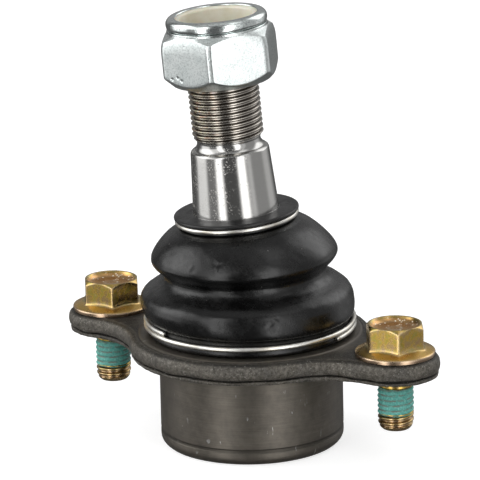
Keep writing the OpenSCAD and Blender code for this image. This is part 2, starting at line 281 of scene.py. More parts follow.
# %% [markdown]
# A finish is a network of small nodes: noise for grain, a ramp that turns the noise into colours,
# and bump that turns it into relief. These helpers add one node each and hand back its output, so
# that a finish below reads like a recipe. Sizes in a finish are millimetres.

# %% Helpers for finishes: nodes, materials and places
def add(tree, kind, inputs=None, **settings):
    """Add a node, set its settings and inputs, and link the inputs that are outputs of other nodes."""
    made = tree.nodes.new("ShaderNode" + kind)
    for key, value in settings.items():
        setattr(made, key, value)
    for key, value in (inputs or {}).items():
        if isinstance(value, bpy.types.NodeSocket):
            tree.links.new(value, made.inputs[key])
        else:
            made.inputs[key].default_value = value
    return made


def colour(*values):
    """A colour of red, green and blue as Blender wants it, with its alpha."""
    return (*values, 1.0)


def new_finish(name, **shader_values):
    """A material with one Principled shader: its tree, its shader and itself."""
    material = bpy.data.materials.new(name)
    material.use_nodes = True
    tree = material.node_tree
    shader = tree.nodes["Principled BSDF"]
    for key, value in shader_values.items():
        shader.inputs[key.replace("_", " ")].default_value = value
    return material, tree, shader


def place_in_mm(tree, stretch=(1, 1, 1), attribute="upright"):
    """Where a point lies, in mm, stretched along each axis: from the piece's attribute or, for a
    node that has none, from its object coordinates."""
    if attribute:
        source, scale = add(tree, "Attribute", attribute_name=attribute).outputs["Vector"], 1.0
    else:
        source, scale = add(tree, "TexCoord").outputs["Object"], 1000.0
    return add(tree, "Mapping", {"Vector": source, "Scale": [scale * s for s in stretch]}).outputs["Vector"]


print("a finish can be started")


# %% Helpers for finishes: patterns and their colours
def noise(tree, place, size, detail=3, roughness=0.6):
    """Noise with features of about `size` mm."""
    inputs = {"Vector": place, "Scale": 1 / size, "Detail": detail, "Roughness": roughness}
    return add(tree, "TexNoise", inputs).outputs["Fac"]


def ramp(tree, value, stops):
    """A colour for each value: stops are (position, colour)."""
    made = add(tree, "ValToRGB", {"Fac": value})
    steps = made.color_ramp.elements
    while len(steps) < len(stops):
        steps.new(1.0)
    for step, (position, shade) in zip(steps, stops):
        step.position, step.color = position, colour(*shade)
    return made.outputs["Color"]


def scaled(tree, value, low, high, to_low=0.0, to_high=1.0):
    """Stretch a value from one range to another, clamped at both ends."""
    inputs = {"Value": value, "From Min": low, "From Max": high, "To Min": to_low, "To Max": to_high}
    return add(tree, "MapRange", inputs).outputs["Result"]


print("noise can be turned into colours")


# %% Helpers for finishes: mixtures
def blended(tree, share, first, second):
    """Mix two colours by a share."""
    return add(tree, "Mix", {"Factor": share, 6: first, 7: second}, data_type="RGBA").outputs[2]


def shaded(tree, base, shade):
    """One colour times another, channel by channel."""
    inputs = {"Factor": 1.0, 6: base, 7: shade}
    return add(tree, "Mix", inputs, data_type="RGBA", blend_type="MULTIPLY").outputs[2]


def between(tree, share, first, second):
    """A value that goes from one to another by a share."""
    return add(tree, "Mix", {"Factor": share, 2: first, 3: second}, data_type="FLOAT").outputs[0]


def combined(tree, operation, first, second):
    """One sum, product or comparison of two values."""
    return add(tree, "Math", {0: first, 1: second}, operation=operation).outputs["Value"]


def times(tree, first, second):
    """The product of two values."""
    return combined(tree, "MULTIPLY", first, second)


def tinted(tree, base, share, strength, *shade):
    """Lay a shade of red, green and blue over a colour, by a share times a strength."""
    return blended(tree, times(tree, share, strength), base, colour(*shade))


print("colours and values can be mixed")


# %% Helpers for finishes: what a point carries, relief and the shader's inputs
def carried(tree, name):
    """The value that a piece's points carry under a name."""
    return add(tree, "Attribute", attribute_name=name).outputs["Fac"]


def parts_of(tree, place):
    """The X, Y and Z of a place."""
    return add(tree, "SeparateXYZ", {"Vector": place}).outputs


def relief(tree, height, depth, strength=1.0, under=None):
    """Bump from a height of 0 to 1 that stands `depth` mm high, on top of other bump."""
    inputs = {"Height": height, "Distance": depth * MM, "Strength": strength}
    if under is not None:
        inputs["Normal"] = under
    return add(tree, "Bump", inputs).outputs["Normal"]


def wire_up(tree, shader, **outputs):
    """Link outputs to the shader's inputs by name."""
    for key, value in outputs.items():
        tree.links.new(value, shader.inputs[key.replace("_", " ")])


print("a finish can be wired up")

# %% [markdown]
# Metal is mostly a picture of what stands round it. The part was photographed in a white tent:
# bright cloth on both sides of the camera, a dark gap where the camera looks in, and dimmer
# corners. The tent here is one large sphere that the camera doesn't see. Each of its points glows as
# the dim room does, plus what a short list of lamps and cloths adds in that direction, with soft
# edges. Soft light and reflections both come from it, so a colour renders about as it is written
# and the bright and dark stripes on the stud fall where they should.

# %% Lamps and cloths of the tent
TENT_RADIUS, ROOM, CEILING, CEILING_FOOT, CEILING_EDGE = 4000.0, 0.13, 0.40, 62, 24
FRONT = math.degrees(math.atan2(back[1], back[0]))
# Each lamp or cloth: its turn and half width, rise from and to, soft edge, in degrees, and brightness
LAMPS = [(-35, 9, -38, 50, 12, 3.0),     # left strip
         (29.5, 10.5, -38, 50, 11, 3.0),  # right strip
         (-94, 19, -17, 50, 12, 1.28),   # left cloth
         (-85, 40, -20, 60, 16, 0.20),   # its stray light
         (-66, 24, 12, 50, 14, 1.00),    # its upper part, nearer the camera
         (-108, 18, 13, 50, 14, 1.5),    # lamp behind it
         (94, 48, -22, 60, 16, 0.32),    # right cloth
         (51, 8, -30, 50, 10, 0.45),     # its bright end beside the strip
         (117, 13, -15, 52, 14, 0.30),   # its far end
         (130, 19, 14, 50, 14, 1.4),     # lamp behind it
         (180, 34, 4, 60, 16, 0.22),     # back cloth
         (62, 22, 56, 76, 16, 1.2)]      # small lamp above on the right


print(len(LAMPS), "lamps and cloths, the brightest of strength", max(lamp[-1] for lamp in LAMPS))


# %% Light tent
def soft_step(values, edge):
    """From 0 to 1 over a width of edge round 0, as 3t^2 - 2t^3."""
    t = np.clip(values / edge + 0.5, 0, 1)
    return t * t * (3 - 2 * t)


def light_tent():
    """A sphere round the part whose points carry the brightness of the tent in their direction:
    the dim room and ceiling, plus each lamp times soft steps at its two sides and its two ends."""
    turn, rise = np.arange(-180, 180, 2.0), np.arange(-90, 91, 3.0)
    glow = ROOM + CEILING * soft_step(rise - CEILING_FOOT, CEILING_EDGE)[:, None] * np.ones(len(turn))
    for centre, half, low, high, edge, brightness in LAMPS:
        off_centre = np.abs((turn - centre + 180) % 360 - 180)
        along = soft_step(rise - low, edge) * soft_step(high - rise, edge)
        glow += brightness * along[:, None] * soft_step(half - off_centre, edge)
    a, b = np.meshgrid(np.radians(turn + FRONT), np.radians(rise * 0.999))
    rings = TENT_RADIUS * np.stack([np.cos(b) * np.cos(a), np.cos(b) * np.sin(a), np.sin(b)], -1)
    mesh = new_mesh("light_tent", *skin(rings))
    put_on_points(mesh, "glow", with_ends(glow))
    cloth = bpy.data.materials.new("glowing_cloth")
    cloth.use_nodes = True
    tree = cloth.node_tree
    tree.nodes.clear()
    lamp = add(tree, "Emission", {"Color": colour(1, 1, 1), "Strength": carried(tree, "glow")})
    tree.links.new(lamp.outputs[0], add(tree, "OutputMaterial").inputs["Surface"])
    mesh.materials.append(cloth)
    tent = in_scene("light_tent", mesh)
    tent.visible_camera = False
    tent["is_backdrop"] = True
    weight = np.clip(np.sin(np.radians(rise)), 0, None) * np.cos(np.radians(rise))
    print("light on a level face:", round(float((glow.mean(1) * weight).sum() / weight.sum()), 2))
    return tent


tent = light_tent()
print("the tent has", len(tent.data.polygons), "faces")

# %% [markdown]
# The background is plain white. The world is white to the camera and in reflections, and gives no
# other light. The floor is pale: most of its brightness is its own, so that it meets the white
# behind it, and the rest is lit by the tent, so that the part leaves a soft shadow on it.

# %% Floor and background
FLOOR_SIZE, FLOOR_OWN_LIGHT, FLOOR_COLOUR = 4.0, 0.68, 0.6
floor_z = cad_box[0][2]


def seen_directly(tree):
    """1 for rays that the camera, a reflection or glass sends, and 0 for rays that carry light."""
    rays = add(tree, "LightPath").outputs
    either = combined(tree, "MAXIMUM", rays["Is Camera Ray"], rays["Is Glossy Ray"])
    return combined(tree, "MAXIMUM", either, rays["Is Transmission Ray"])


world = bpy.data.worlds.new("white_world")
world.use_nodes = True
bpy.context.scene.world = world
world_tree = world.node_tree
backdrop = world_tree.nodes["Background"]
backdrop.inputs["Color"].default_value = colour(1, 1, 1)
world_tree.links.new(seen_directly(world_tree), backdrop.inputs["Strength"])

floor_mesh = bpy.data.meshes.new("floor")
half = FLOOR_SIZE / 2
floor_mesh.from_pydata([(x * half, y * half, floor_z) for x, y in ((-1, -1), (1, -1), (1, 1), (-1, 1))],
                       [], [(0, 1, 2, 3)])
floor_paint, floor_tree, floor_shader = new_finish("pale_floor", Roughness=0.9, Specular_IOR_Level=0.0)
floor_shader.inputs["Base Color"].default_value = colour(FLOOR_COLOUR, FLOOR_COLOUR, FLOOR_COLOUR)
floor_shader.inputs["Emission Color"].default_value = colour(1, 1, 1)
own_light = times(floor_tree, seen_directly(floor_tree), FLOOR_OWN_LIGHT)
wire_up(floor_tree, floor_shader, Emission_Strength=own_light)
floor_mesh.materials.append(floor_paint)
floor = in_scene("floor", floor_mesh)
floor.visible_glossy = False
floor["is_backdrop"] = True
bpy.context.scene.view_settings.view_transform = "Standard"
print("the floor lies at", round(floor_z * 1000, 1), "mm")

# %% [markdown]
# The housing is one forging: a plate with a round middle and two ears, a spigot below it and a low
# collar above it for the boot. Its outline is four arcs a side, each touching the next. A forged
# edge has the same section all round, so that section is carried along the outline, and the flat
# faces run in straight lines from the outline to the circles of the spigot and the collar.

# %% Outline of the flange
SPIGOT_R, SPIGOT_LENGTH, FLANGE_T = 26.0, 26.0, 6.0
FLANGE_R, EAR_R, HOLLOW_R = 34.5, 12.5, 22.0
EAR_X = joints["bolt_right_turn"]["pos_m"][0] / MM
OUTLINE_STEP = 0.52


def arc(centre, radius, start, stop, bulge):
    """Points and outward directions along an arc, at the middle of equal steps. bulge is 1 for a
    round that bulges out and -1 for a hollow."""
    count = round(abs(stop - start) * radius / OUTLINE_STEP)
    angle = start + (np.arange(count) + 0.5) * (stop - start) / count
    way = np.stack([np.cos(angle), np.sin(angle)], -1)
    return np.concatenate([centre + radius * way, bulge * way], axis=1)


def flange_outline():
    """Ear, hollow and middle in one quarter, then the quarter mirrored three times. The hollow's
    centre is at FLANGE_R + HOLLOW_R from the middle and at EAR_R + HOLLOW_R from the ear's."""
    a, b = FLANGE_R + HOLLOW_R, EAR_R + HOLLOW_R
    x = (a * a - b * b + EAR_X * EAR_X) / (2 * EAR_X)
    hollow = np.array([x, math.sqrt(a * a - x * x)])
    at_ear, at_middle = math.atan2(hollow[1], hollow[0] - EAR_X), math.atan2(hollow[1], hollow[0])
    quarter = np.concatenate([arc(np.array([EAR_X, 0]), EAR_R, 0, at_ear, 1),
                              arc(hollow, HOLLOW_R, at_ear + math.pi, at_middle + math.pi, -1),
                              arc(np.zeros(2), FLANGE_R, at_middle, math.pi / 2, 1)])
    flip_x, flip_y = np.array([-1, 1, -1, 1]), np.array([1, -1, 1, -1])
    quarters = [quarter, quarter[::-1] * flip_x, quarter * flip_x * flip_y, quarter[::-1] * flip_y]
    return np.concatenate(quarters)


outline = flange_outline()
outline_turn = np.arctan2(outline[:, 1], outline[:, 0])
print("the outline has", len(outline), "points")


# %% Section of the housing
def ring_row(radius, height):
    """A circle whose points lie in the same directions as the outline's."""
    return turned(np.array([[radius, height]]), outline_turn)[0]


def edge_row(inset, height):
    """The outline moved inwards by `inset`."""
    flat = outline[:, :2] - inset * outline[:, 2:]
    return np.column_stack([flat, np.full(len(flat), height)])


GROOVE_R, GROOVE_FOOT, GROOVE_TOP = SPIGOT_R - 0.16, -22.2, -21.1
spigot_side = refine(soften([[18.0, -SPIGOT_LENGTH], [24.5, -SPIGOT_LENGTH], [SPIGOT_R, 1.5 - SPIGOT_LENGTH],
                             [SPIGOT_R, GROOVE_FOOT], [GROOVE_R, GROOVE_FOOT + 0.2],
                             [GROOVE_R, GROOVE_TOP - 0.2], [SPIGOT_R, GROOVE_TOP], [SPIGOT_R, -0.5],
                             [SPIGOT_R + 0.5, 0]],
                            [0, 0.9, 1.3, 0.1, 0.12, 0.12, 0.1, 0.3, 0], 3), 3.2)
edge = refine(soften([[1.1, 0], [0.7, 0.16], [0.5, 0.95], [1.35, 1.32], [0.4, 1.72], [0, 2.9],
                      [0.12, 4.7], [0.9, 5.7], [2.2, FLANGE_T]],
                     [0, 0.2, 0.25, 0.2, 0.3, 0.7, 0.8, 0.7, 0], 4), 0.42)
collar = refine(soften([[31.7, FLANGE_T], [31.2, 6.35], [26.2, 6.35], [25.5, 6.6], [25.5, 10.4], [24.9, 11],
                        [17.2, 11], [14.2, 9.9], [14.2, 9.3], [15, 8.9], [20, 3.3], [20, -20.2],
                        [21.63, -20.2], [21.63, -22.75], [19.6, -22.75], [18.0, -24.6]], 0.25, 3), 2.6)
under = np.linspace(0, 1, 8)[1:-1, None, None]
rows = [ring_row(*p) for p in spigot_side]
rows += list(rows[-1] * (1 - under) + edge_row(*edge[0]) * under)
edge_start = len(rows)
rows += [edge_row(*p) for p in edge]
top = np.linspace(0, 1, 17)[1:-1, None, None]
rows += list(edge_row(*edge[-1]) * (1 - top) + ring_row(*collar[0]) * top)
collar_start = len(rows)
rows += [ring_row(*p) for p in collar]
housing_rings = np.array(rows)
print("the housing has", len(rows), "rings, with its edge from ring", edge_start, "to", collar_start)

# %% [markdown]
# A forging keeps the skin of its dies: a pebbled surface and, round the edge where the two dies met,
# a line that wanders a little. Bump in a material could fake both, but not their outline. So the
# lumps and the line are real: each point moves along its own normal by a sum of waves, those near
# the line also move up and down, and only the finest grain is left to the material.

# %% Forged grain and parting line
FORGED_LUMPS = [(9.0, 0.09, 3), (2.6, 0.05, 4), (1.2, 0.025, 5)]
PARTING_Z, PARTING_HALF, PARTING_WAVE = 1.35, 0.35, 0.22
# Tone of the flange's top, kept low as painted shade, and the heights of its top rounding, painted darker as
# shade
PAINTED_TOP_SHADE, ROUNDING_FOOT, ROUNDING_TOP = 0.24, 5.25, 5.98

normals = ring_normals(housing_rings)
row_number = np.arange(len(housing_rings))
forged = np.clip((row_number - edge_start + 2) / 3, 0, 1) * np.clip((collar_start - row_number) / 3, 0, 1)
edge_height = np.clip(housing_rings[:, 0, 2], 0, FLANGE_T)
# Tone of the forging, as painted light: the side of its edge paler, as if lit, and its parting line, top
# rounding and top darker, as painted shade
in_parting = np.exp(-((edge_height - PARTING_Z) / PARTING_HALF) ** 2)
on_edge = (row_number >= edge_start) & (row_number < edge_start + len(edge))
painted_rounding_shade = 0.8 * on_edge * np.clip((edge_height - ROUNDING_FOOT) / 0.4, 0, 1)
painted_rounding_shade *= np.clip((ROUNDING_TOP - edge_height) / 0.1, 0, 1)
painted_light_tone = np.where(on_edge, 1 - in_parting, PAINTED_TOP_SHADE) * (1 - painted_rounding_shade)
lumps = sum(depth * grain(housing_rings, size, seed) for size, depth, seed in FORGED_LUMPS)
housing_rings = housing_rings + normals * (lumps * forged[:, None])[..., None]
near_parting = np.exp(-((housing_rings[..., 2] - PARTING_Z) / (2 * PARTING_HALF)) ** 2) * forged[:, None]
wave = grain(np.column_stack([outline[:, :2], np.zeros(len(outline))]), 9, 8)
housing_rings[..., 2] += PARTING_WAVE * wave * near_parting
print("the grain moves points by up to", round(float(np.abs(lumps).max()), 2), "mm")

# %% [markdown]
# The forging is covered in dark scale, with painted light on its flange: the side of its edge is painted
# paler, as if lit, and its top, its top rounding and its parting line darker, as painted shade. The spigot
# was turned afterwards, which leaves fine rings and browner steel. Two materials would meet at a hard
# border, so one material holds both recipes and mixes them by a value that the rings of the mesh carry.

# %% Finish of the housing: grey forging scale and a turned spigot
def housing_finish():
    """Forging scale with a fine grain and bright specks painted in as glints. Painted light makes the side of
    the flange's edge paler, as if lit, and painted shade darkens its top, its top rounding and its parting
    line. Where the machined mark is 1, brown grey turned steel with fine tool marks, a few scratches and
    painted shade in its groove."""
    material, tree, shader = new_finish("forged_and_turned", Specular_IOR_Level=0.5)
    machined = carried(tree, "machined")
    painted_light_tone = carried(tree, "painted_light_tone")
    place = place_in_mm(tree)
    mixed = between(tree, 0.5, noise(tree, place, 0.28, 3, 0.7), noise(tree, place, 0.9, 3, 0.6))
    scale = ramp(tree, mixed, [(0.38, (0.014, 0.013, 0.010)), (0.50, (0.037, 0.034, 0.029)),
                               (0.62, (0.064, 0.060, 0.053)), (0.72, (0.12, 0.113, 0.104))])
    broad = noise(tree, place, 7, 3)
    scale = shaded(tree, scale, ramp(tree, broad, [(0.3, (0.72, 0.72, 0.73)), (0.7, (1.22, 1.19, 1.13))]))
    # Painted light: the flange's edge side paler, as if lit, and its top, top rounding and parting line
    # darker, as painted shade
    tone = scaled(tree, painted_light_tone, 0, 1, 0.5, 2.6)
    scale = add(tree, "VectorMath", {0: scale, "Scale": tone}, operation="SCALE").outputs["Vector"]
    # Bright specks painted in as glints of light
    specks = scaled(tree, noise(tree, place, 0.45, 2, 0.8), 0.68, 0.71)
    scale = tinted(tree, scale, specks, 0.8, 0.55, 0.53, 0.49)
    rings = noise(tree, place_in_mm(tree, (0.10, 0.10, 9)), 1.0, 3, 0.7)
    steel = ramp(tree, rings, [(0.25, (0.106, 0.095, 0.080)), (0.75, (0.160, 0.144, 0.123))])
    cloudy = noise(tree, place, 4, 5, 0.7)
    steel = shaded(tree, steel, ramp(tree, cloudy, [(0.35, (0.74, 0.74, 0.74)), (0.66, (1, 0.99, 0.97))]))
    slanted = {"Vector": place, "Rotation": (1.1, 0.35, 0.7), "Scale": (0.35, 3, 0.35)}
    lines = noise(tree, add(tree, "Mapping", slanted).outputs["Vector"], 1.0, 2, 0.5)
    where = scaled(tree, noise(tree, place, 6, 1), 0.58, 0.68)
    scratch = times(tree, scaled(tree, lines, 0.655, 0.70), where)
    steel = blended(tree, scratch, steel, colour(0.4, 0.4, 0.39))
    height = parts_of(tree, place)["Z"]
    # Painted shade: the spigot's groove is darkened
    painted_groove_shade = times(tree, scaled(tree, height, GROOVE_FOOT - 0.2, GROOVE_FOOT + 0.1),
                      scaled(tree, height, GROOVE_TOP + 0.2, GROOVE_TOP - 0.1))
    steel = tinted(tree, steel, painted_groove_shade, 0.6, 0.03, 0.027, 0.022)
    bumps = {"Factor": machined, 4: relief(tree, mixed, 0.19, 1.0), 5: relief(tree, rings, 0.012, 0.6)}
    wire_up(tree, shader, Base_Color=blended(tree, machined, scale, steel),
            Roughness=between(tree, machined, 0.50, 0.43), Metallic=between(tree, machined, 0.35, 0.77),
            Normal=add(tree, "Mix", bumps, data_type="VECTOR").outputs[1])
    return material


housing_paint = housing_finish()
print("the housing's finish has", len(housing_paint.node_tree.nodes), "nodes")

# %% [markdown]
# A grid of rings that runs round the part can't also run round two holes. So the holes are made as
# in a workshop: a Boolean takes a drill away from the finished skin, and its result is kept as the
# mesh, so that nothing is left to work out later.

# %% Housing piece, with its two bolt holes
BOLT_HOLE_R = 5.5
# The forging's painted light and shade go onto its points
per_point = {"machined": np.repeat(1 - forged, len(outline)), "painted_light_tone": np.repeat(painted_light_tone, len(outline))}
housing = make_piece("forged_housing", skin(housing_rings, looped=True), housing_paint, "housing",
                     marks=per_point)


def drill(piece, x, radius, low, high):
    """Cut a round hole along Z through a piece: the Boolean leaves the wall of the drill in the mesh."""
    wall = turned([[radius, low], [radius, high]], around(64)) + np.array([x, 0, 0])
    tool = in_scene("drill", new_mesh("drill", *skin(wall)))
    cut = piece.modifiers.new("drill", "BOOLEAN")
    cut.operation, cut.solver, cut.object = "DIFFERENCE", "EXACT", tool
    made = bpy.data.meshes.new_from_object(piece.evaluated_get(bpy.context.evaluated_depsgraph_get()))
    piece.modifiers.clear()
    piece.data = made
    bpy.data.objects.remove(tool)


for side in (-1, 1):
    drill(housing, side * EAR_X, BOLT_HOLE_R, -1, FLANGE_T + 1)
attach(housing, "housing")
print("with its holes the housing has", len(housing.data.polygons), "faces")

# %% [markdown]
# The stud is turned from one bar: a ball at its foot, a neck, a cone of 1 in 8 that is ground to a
# mirror, a relief groove and a fine thread. A thread is a height field on a cylinder. Its radius at
# turn a and height h depends only on h / pitch - a / full turn, which is the same all along the
# helix, and the radius is the smaller of the thread's and the turned profile's, so that the thread
# runs out by itself at the groove and at the bevel of the tip.

# %% Thread as a height field
def threaded(profile, angles, pitch, depth, crest_r, from_h, to_h, land=0.15, root_land=0.22):
    """Radius min(profile, crest_r - depth * f): f is 0 on the crest's land, 1 in the root's, and rises
    in a straight line between them, as the flanks of a rolled thread do. Lands in parts of a pitch."""
    p = np.repeat(np.asarray(profile, float)[:, None], len(angles), axis=1)
    turns = p[..., 1] / pitch - angles / math.tau
    from_crest = np.abs(2 * (turns - np.floor(turns)) - 1)
    flank = np.clip((from_crest - land) / (1 - land - root_land), 0, 1)
    inside = (p[..., 1] > from_h) & (p[..., 1] < to_h)
    p[..., 0] = np.where(inside, np.minimum(p[..., 0], crest_r - depth * flank), p[..., 0])
    return p, np.where(inside, flank, 0)


BALL_R, NECK_R, HUB_R = 16.0, 8.6, 12.7
TAPER_FOOT, TAPER_FOOT_R, TAPER_LENGTH = 41.7, 12.15, 17.7
RELIEF_R, THREAD_FOOT, STUD_TIP = 8.9, 63.5, 92.0
THREAD_R, THREAD_PITCH, THREAD_DEPTH = 10.0, 1.5, 0.80
taper_head, taper_head_r = TAPER_FOOT + TAPER_LENGTH, TAPER_FOOT_R - TAPER_LENGTH / 16
ball_angle = np.radians(np.linspace(-66, 57, 22))
ball_side = BALL_R * np.column_stack([np.cos(ball_angle), np.sin(ball_angle)])
shank = soften([[NECK_R, 14.6], [NECK_R, 27], [9.1, 29], [HUB_R - 0.7, 34.2], [HUB_R, 35.2],
                [HUB_R, TAPER_FOOT - 0.15], [TAPER_FOOT_R, TAPER_FOOT + 0.05],
                [taper_head_r, taper_head - 0.1], [taper_head_r - 0.6, taper_head + 0.45],
                [9.8, taper_head + 0.75], [RELIEF_R + 0.05, taper_head + 2.0], [RELIEF_R, THREAD_FOOT - 1.0],
                [THREAD_R, THREAD_FOOT + 0.3], [THREAD_R, STUD_TIP - 1.4], [THREAD_R - 1.4, STUD_TIP],
                [1.0, STUD_TIP]],
               [0, 0, 0, 0.8, 0.5, 0.05, 0.06, 0.5, 0.45, 0.7, 0.7, 0.4, 0.1, 0.15, 0.2, 0], 5)
shank = np.concatenate([ball_side, shank])
in_thread = (shank[:-1, 1] >= THREAD_FOOT - 1.6) & (shank[1:, 1] > shank[:-1, 1])
first, last = np.flatnonzero(in_thread)[[0, -1]]
stud_profile = np.concatenate([refine(shank[:first + 1], 1.5),
                               refine(shank[first:last + 2], THREAD_PITCH / 24)[1:], shank[last + 2:]])
stud_angles = around(132)
stud_section, in_root = threaded(stud_profile, stud_angles, THREAD_PITCH, THREAD_DEPTH, THREAD_R,
                                 THREAD_FOOT - 2, STUD_TIP + 1)
stud_rings = turned(stud_section, stud_angles)
print("the stud has", len(stud_profile), "rings")

# %% [markdown]
# Ground steel is nearly a mirror, so its colour matters less than its gloss: very fine rings across
# the axis widen each reflection a little, and dust dulls one side. The rolled thread is browner.
# Painted shade darkens its flanks nearly to black and its roots a little less, and the mesh itself says
# how deep in the root each point lies.

# %% Finish of the stud: ground steel and an oily thread
def stud_finish():
    """Ground steel with fine rings and dust on one side. The thread is browner and duller, with oil
    that has dried in olive, rust and violet on the side away from the dust, and painted shade that
    darkens its flanks and, a little less, its roots."""
    material, tree, shader = new_finish("ground_steel")
    place = place_in_mm(tree)
    height = parts_of(tree, place)["Z"]
    on_thread = scaled(tree, height, THREAD_FOOT - 1.2, THREAD_FOOT + 0.8)
    root = carried(tree, "root")
    rings = noise(tree, place_in_mm(tree, (0.05, 0.05, 11)), 1.0, 3, 0.75)
    bright = ramp(tree, rings, [(0.2, (0.43, 0.425, 0.41)), (0.8, (0.48, 0.475, 0.465))])
    cloud = scaled(tree, noise(tree, place, 5, 2, 0.5), 0.42, 0.60)
    across = {0: place, 1: (-0.93, -0.36, 0)}
    beside = add(tree, "VectorMath", across, operation="DOT_PRODUCT").outputs["Value"]
    cloud = times(tree, cloud, scaled(tree, beside, -7, 1, 0.25, 1))
    dust = times(tree, scaled(tree, noise(tree, place, 0.42, 2, 0.8), 0.60, 0.67), cloud)
    bright = blended(tree, dust, bright, colour(0.66, 0.63, 0.57))
    stained = scaled(tree, beside, -2, 7)
    oil = noise(tree, place_in_mm(tree, (0.45, 0.45, 1.1)), 1.2, 3, 0.6)
    stain = ramp(tree, oil, [(0.34, (0.32, 0.28, 0.28)), (0.44, (0.46, 0.43, 0.29)),
                             (0.53, (0.64, 0.60, 0.54)), (0.58, (0.56, 0.33, 0.14)),
                             (0.70, (0.54, 0.43, 0.48))])
    brown = ramp(tree, noise(tree, place, 3, 3), [(0.35, (0.52, 0.48, 0.43)), (0.65, (0.64, 0.60, 0.55))])
    brown = blended(tree, stained, brown, stain)
    # Painted shade: the thread's flanks darkened nearly to black, its roots a little less
    painted_flank_shade = times(tree, scaled(tree, root, 0.05, 0.6), scaled(tree, root, 1.0, 0.92, 0.35, 0.85))
    brown = blended(tree, painted_flank_shade, brown, colour(0.09, 0.078, 0.065))
    wire_up(tree, shader, Base_Color=blended(tree, on_thread, bright, brown),
            Roughness=between(tree, dust, between(tree, on_thread, 0.13, 0.24), 0.7),
            Metallic=between(tree, dust, 1.0, 0.2),
            Normal=relief(tree, rings, 0.003, 0.4, relief(tree, dust, 0.03, 0.5)))
    return material


ground_steel = stud_finish()
make_piece("threaded_stud", skin(leaned(stud_rings)), ground_steel, "ball_stud",
           upright=with_ends(stud_rings), marks={"root": with_ends(in_root)}, body="stud")

# %% [markdown]
# The boot is a rubber bellows with two folds. Its foot grips the collar of the housing and its top
# grips the stud, so its middle leans by a share that grows from 0 at the foot to 1 at the top. The
# section is a smooth curve through points that each carry their own share of the lean.

# %% Section of the boot
# Each point: radius, height, its share of the lean, and how far it hangs over towards the lean
boot_outside = np.concatenate([
    soften([[25.6, 6.65, 0, 0], [28.9, 6.65, 0, 0], [29.0, 7.6, 0, 0], [28.65, 8.4, 0, 0],
            [28.62, 10.4, 0, 0], [28.9, 11.1, 0, 0]], 0.3, 3),
    smooth_line([[28.6, 10.6, 0, 0], [29.35, 11.5, 0, 0.05], [29.9, 13, 0, 0.3], [30.15, 15.3, 0.05, 0.6],
                 [30.0, 17.0, 0.1, 0.65], [29.2, 18.5, 0.14, 0.65], [27.7, 19.7, 0.19, 0.6],
                 [25.9, 20.7, 0.24, 0.5], [24.5, 21.6, 0.28, 0.45], [23.5, 22.6, 0.33, 0.35],
                 [23.05, 23.6, 0.38, 0.3], [23.3, 24.7, 0.43, 0.2], [24.4, 25.8, 0.48, 0.1],
                 [25.6, 27.0, 0.52, 0.05],
                 [26.3, 28.4, 0.55, 0], [26.05, 29.9, 0.6, 0], [24.6, 32.1, 0.7, 0], [22.6, 34.4, 0.82, 0],
                 [20.4, 36.25, 0.91, 0], [17.9, 37.65, 1, 0], [16.6, 38, 1, 0]], 6),
    soften([[17.3, 38.2, 1, 0], [16.15, 38.5, 1, 0], [16.05, 40.55, 1, 0], [13.95, 40.55, 1, 0],
            [13.95, 36.4, 1, 0], [14.6, 35.7, 1, 0]], 0.25, 3)])
boot_inside = np.concatenate([
    smooth_line([[14.4, 36.2, 1, 0], [15.4, 35.3, 1, 0], [20.8, 32.3, 0.78, 0], [23.6, 29, 0.56, 0],
                 [22.1, 26.5, 0.5, 0.1], [20.4, 23.7, 0.38, 0.3], [23.4, 20.0, 0.25, 0.5],
                 [27.2, 16.2, 0.08, 0.6], [27.5, 13.6, 0, 0.35], [26.1, 11.7, 0, 0.05], [25.4, 11, 0, 0]], 4),
    [[25.6, 11.3, 0, 0]]])
boot_section = np.concatenate([boot_outside, boot_inside])
boot_angles = around(320)
boot_upright = turned(boot_section[:, :2], boot_angles)
print("the boot's section has", len(boot_section), "points")

# %% [markdown]
# Rubber leaves its mould slightly uneven, and small marks from the mould stand out of the real boot
# or sink into it. Each mark is a stroke: an ellipse on the surface, through a bell curve, added to
# how far each point stands out. So it catches the light as relief does. The strokes form no letters.

# %% Soft lumps and mould marks of the rubber
# Each stroke: turn from the front, height, half its length and width, slant, and how far it stands out
MOULD_MARKS = [(-17, 31.4, 1.0, 0.34, 70, 0.22), (-15.4, 32.4, 0.8, 0.34, 20, -0.18),
               (-16.8, 33.4, 0.8, 0.34, -30, 0.20), (-18.3, 32.5, 0.7, 0.32, 100, -0.16),
               (-35, 31.2, 0.7, 0.34, 50, 0.18), (-33.6, 30.4, 0.6, 0.32, -20, -0.15),
               (12.2, 16.2, 1.1, 0.38, 35, -0.24), (14.2, 17.0, 0.9, 0.36, 10, 0.20),
               (16.8, 17.4, 0.8, 0.34, -25, -0.18)]
mark_turn = (boot_angles - math.radians(FRONT) + math.pi) % math.tau - math.pi
outward = ring_normals(boot_upright)
lift = 0.07 * grain(boot_upright, 10, 21) + 0.03 * grain(boot_upright, 4, 22)
outer = (np.arange(len(boot_section)) < len(boot_outside))[:, None]
for turn, height, length, width, slant, stand_out in MOULD_MARKS:
    sideways = (mark_turn - math.radians(turn)) * boot_section[:, :1]
    above = boot_section[:, 1:2] - height
    ca, sa = math.cos(math.radians(slant)), math.sin(math.radians(slant))
    apart = ((sideways * ca + above * sa) / length) ** 2 + ((above * ca - sideways * sa) / width) ** 2
    lift = lift + stand_out * np.exp(-apart) * outer
smooth_below, smooth_above = 11.5, 37
lift = lift * np.clip((boot_section[:, 1:2] - smooth_below) / 2, 0, 1)
lift = lift * np.clip((smooth_above - boot_section[:, 1:2]) / 2, 0, 1)
toward_lean = stud_axis * [1, 1, 0] / np.hypot(*stud_axis[:2])
lean_share = np.repeat(boot_section[:, 2:3], len(boot_angles), axis=1)
boot_rings = leaned(boot_upright + outward * lift[..., None], lean_share)
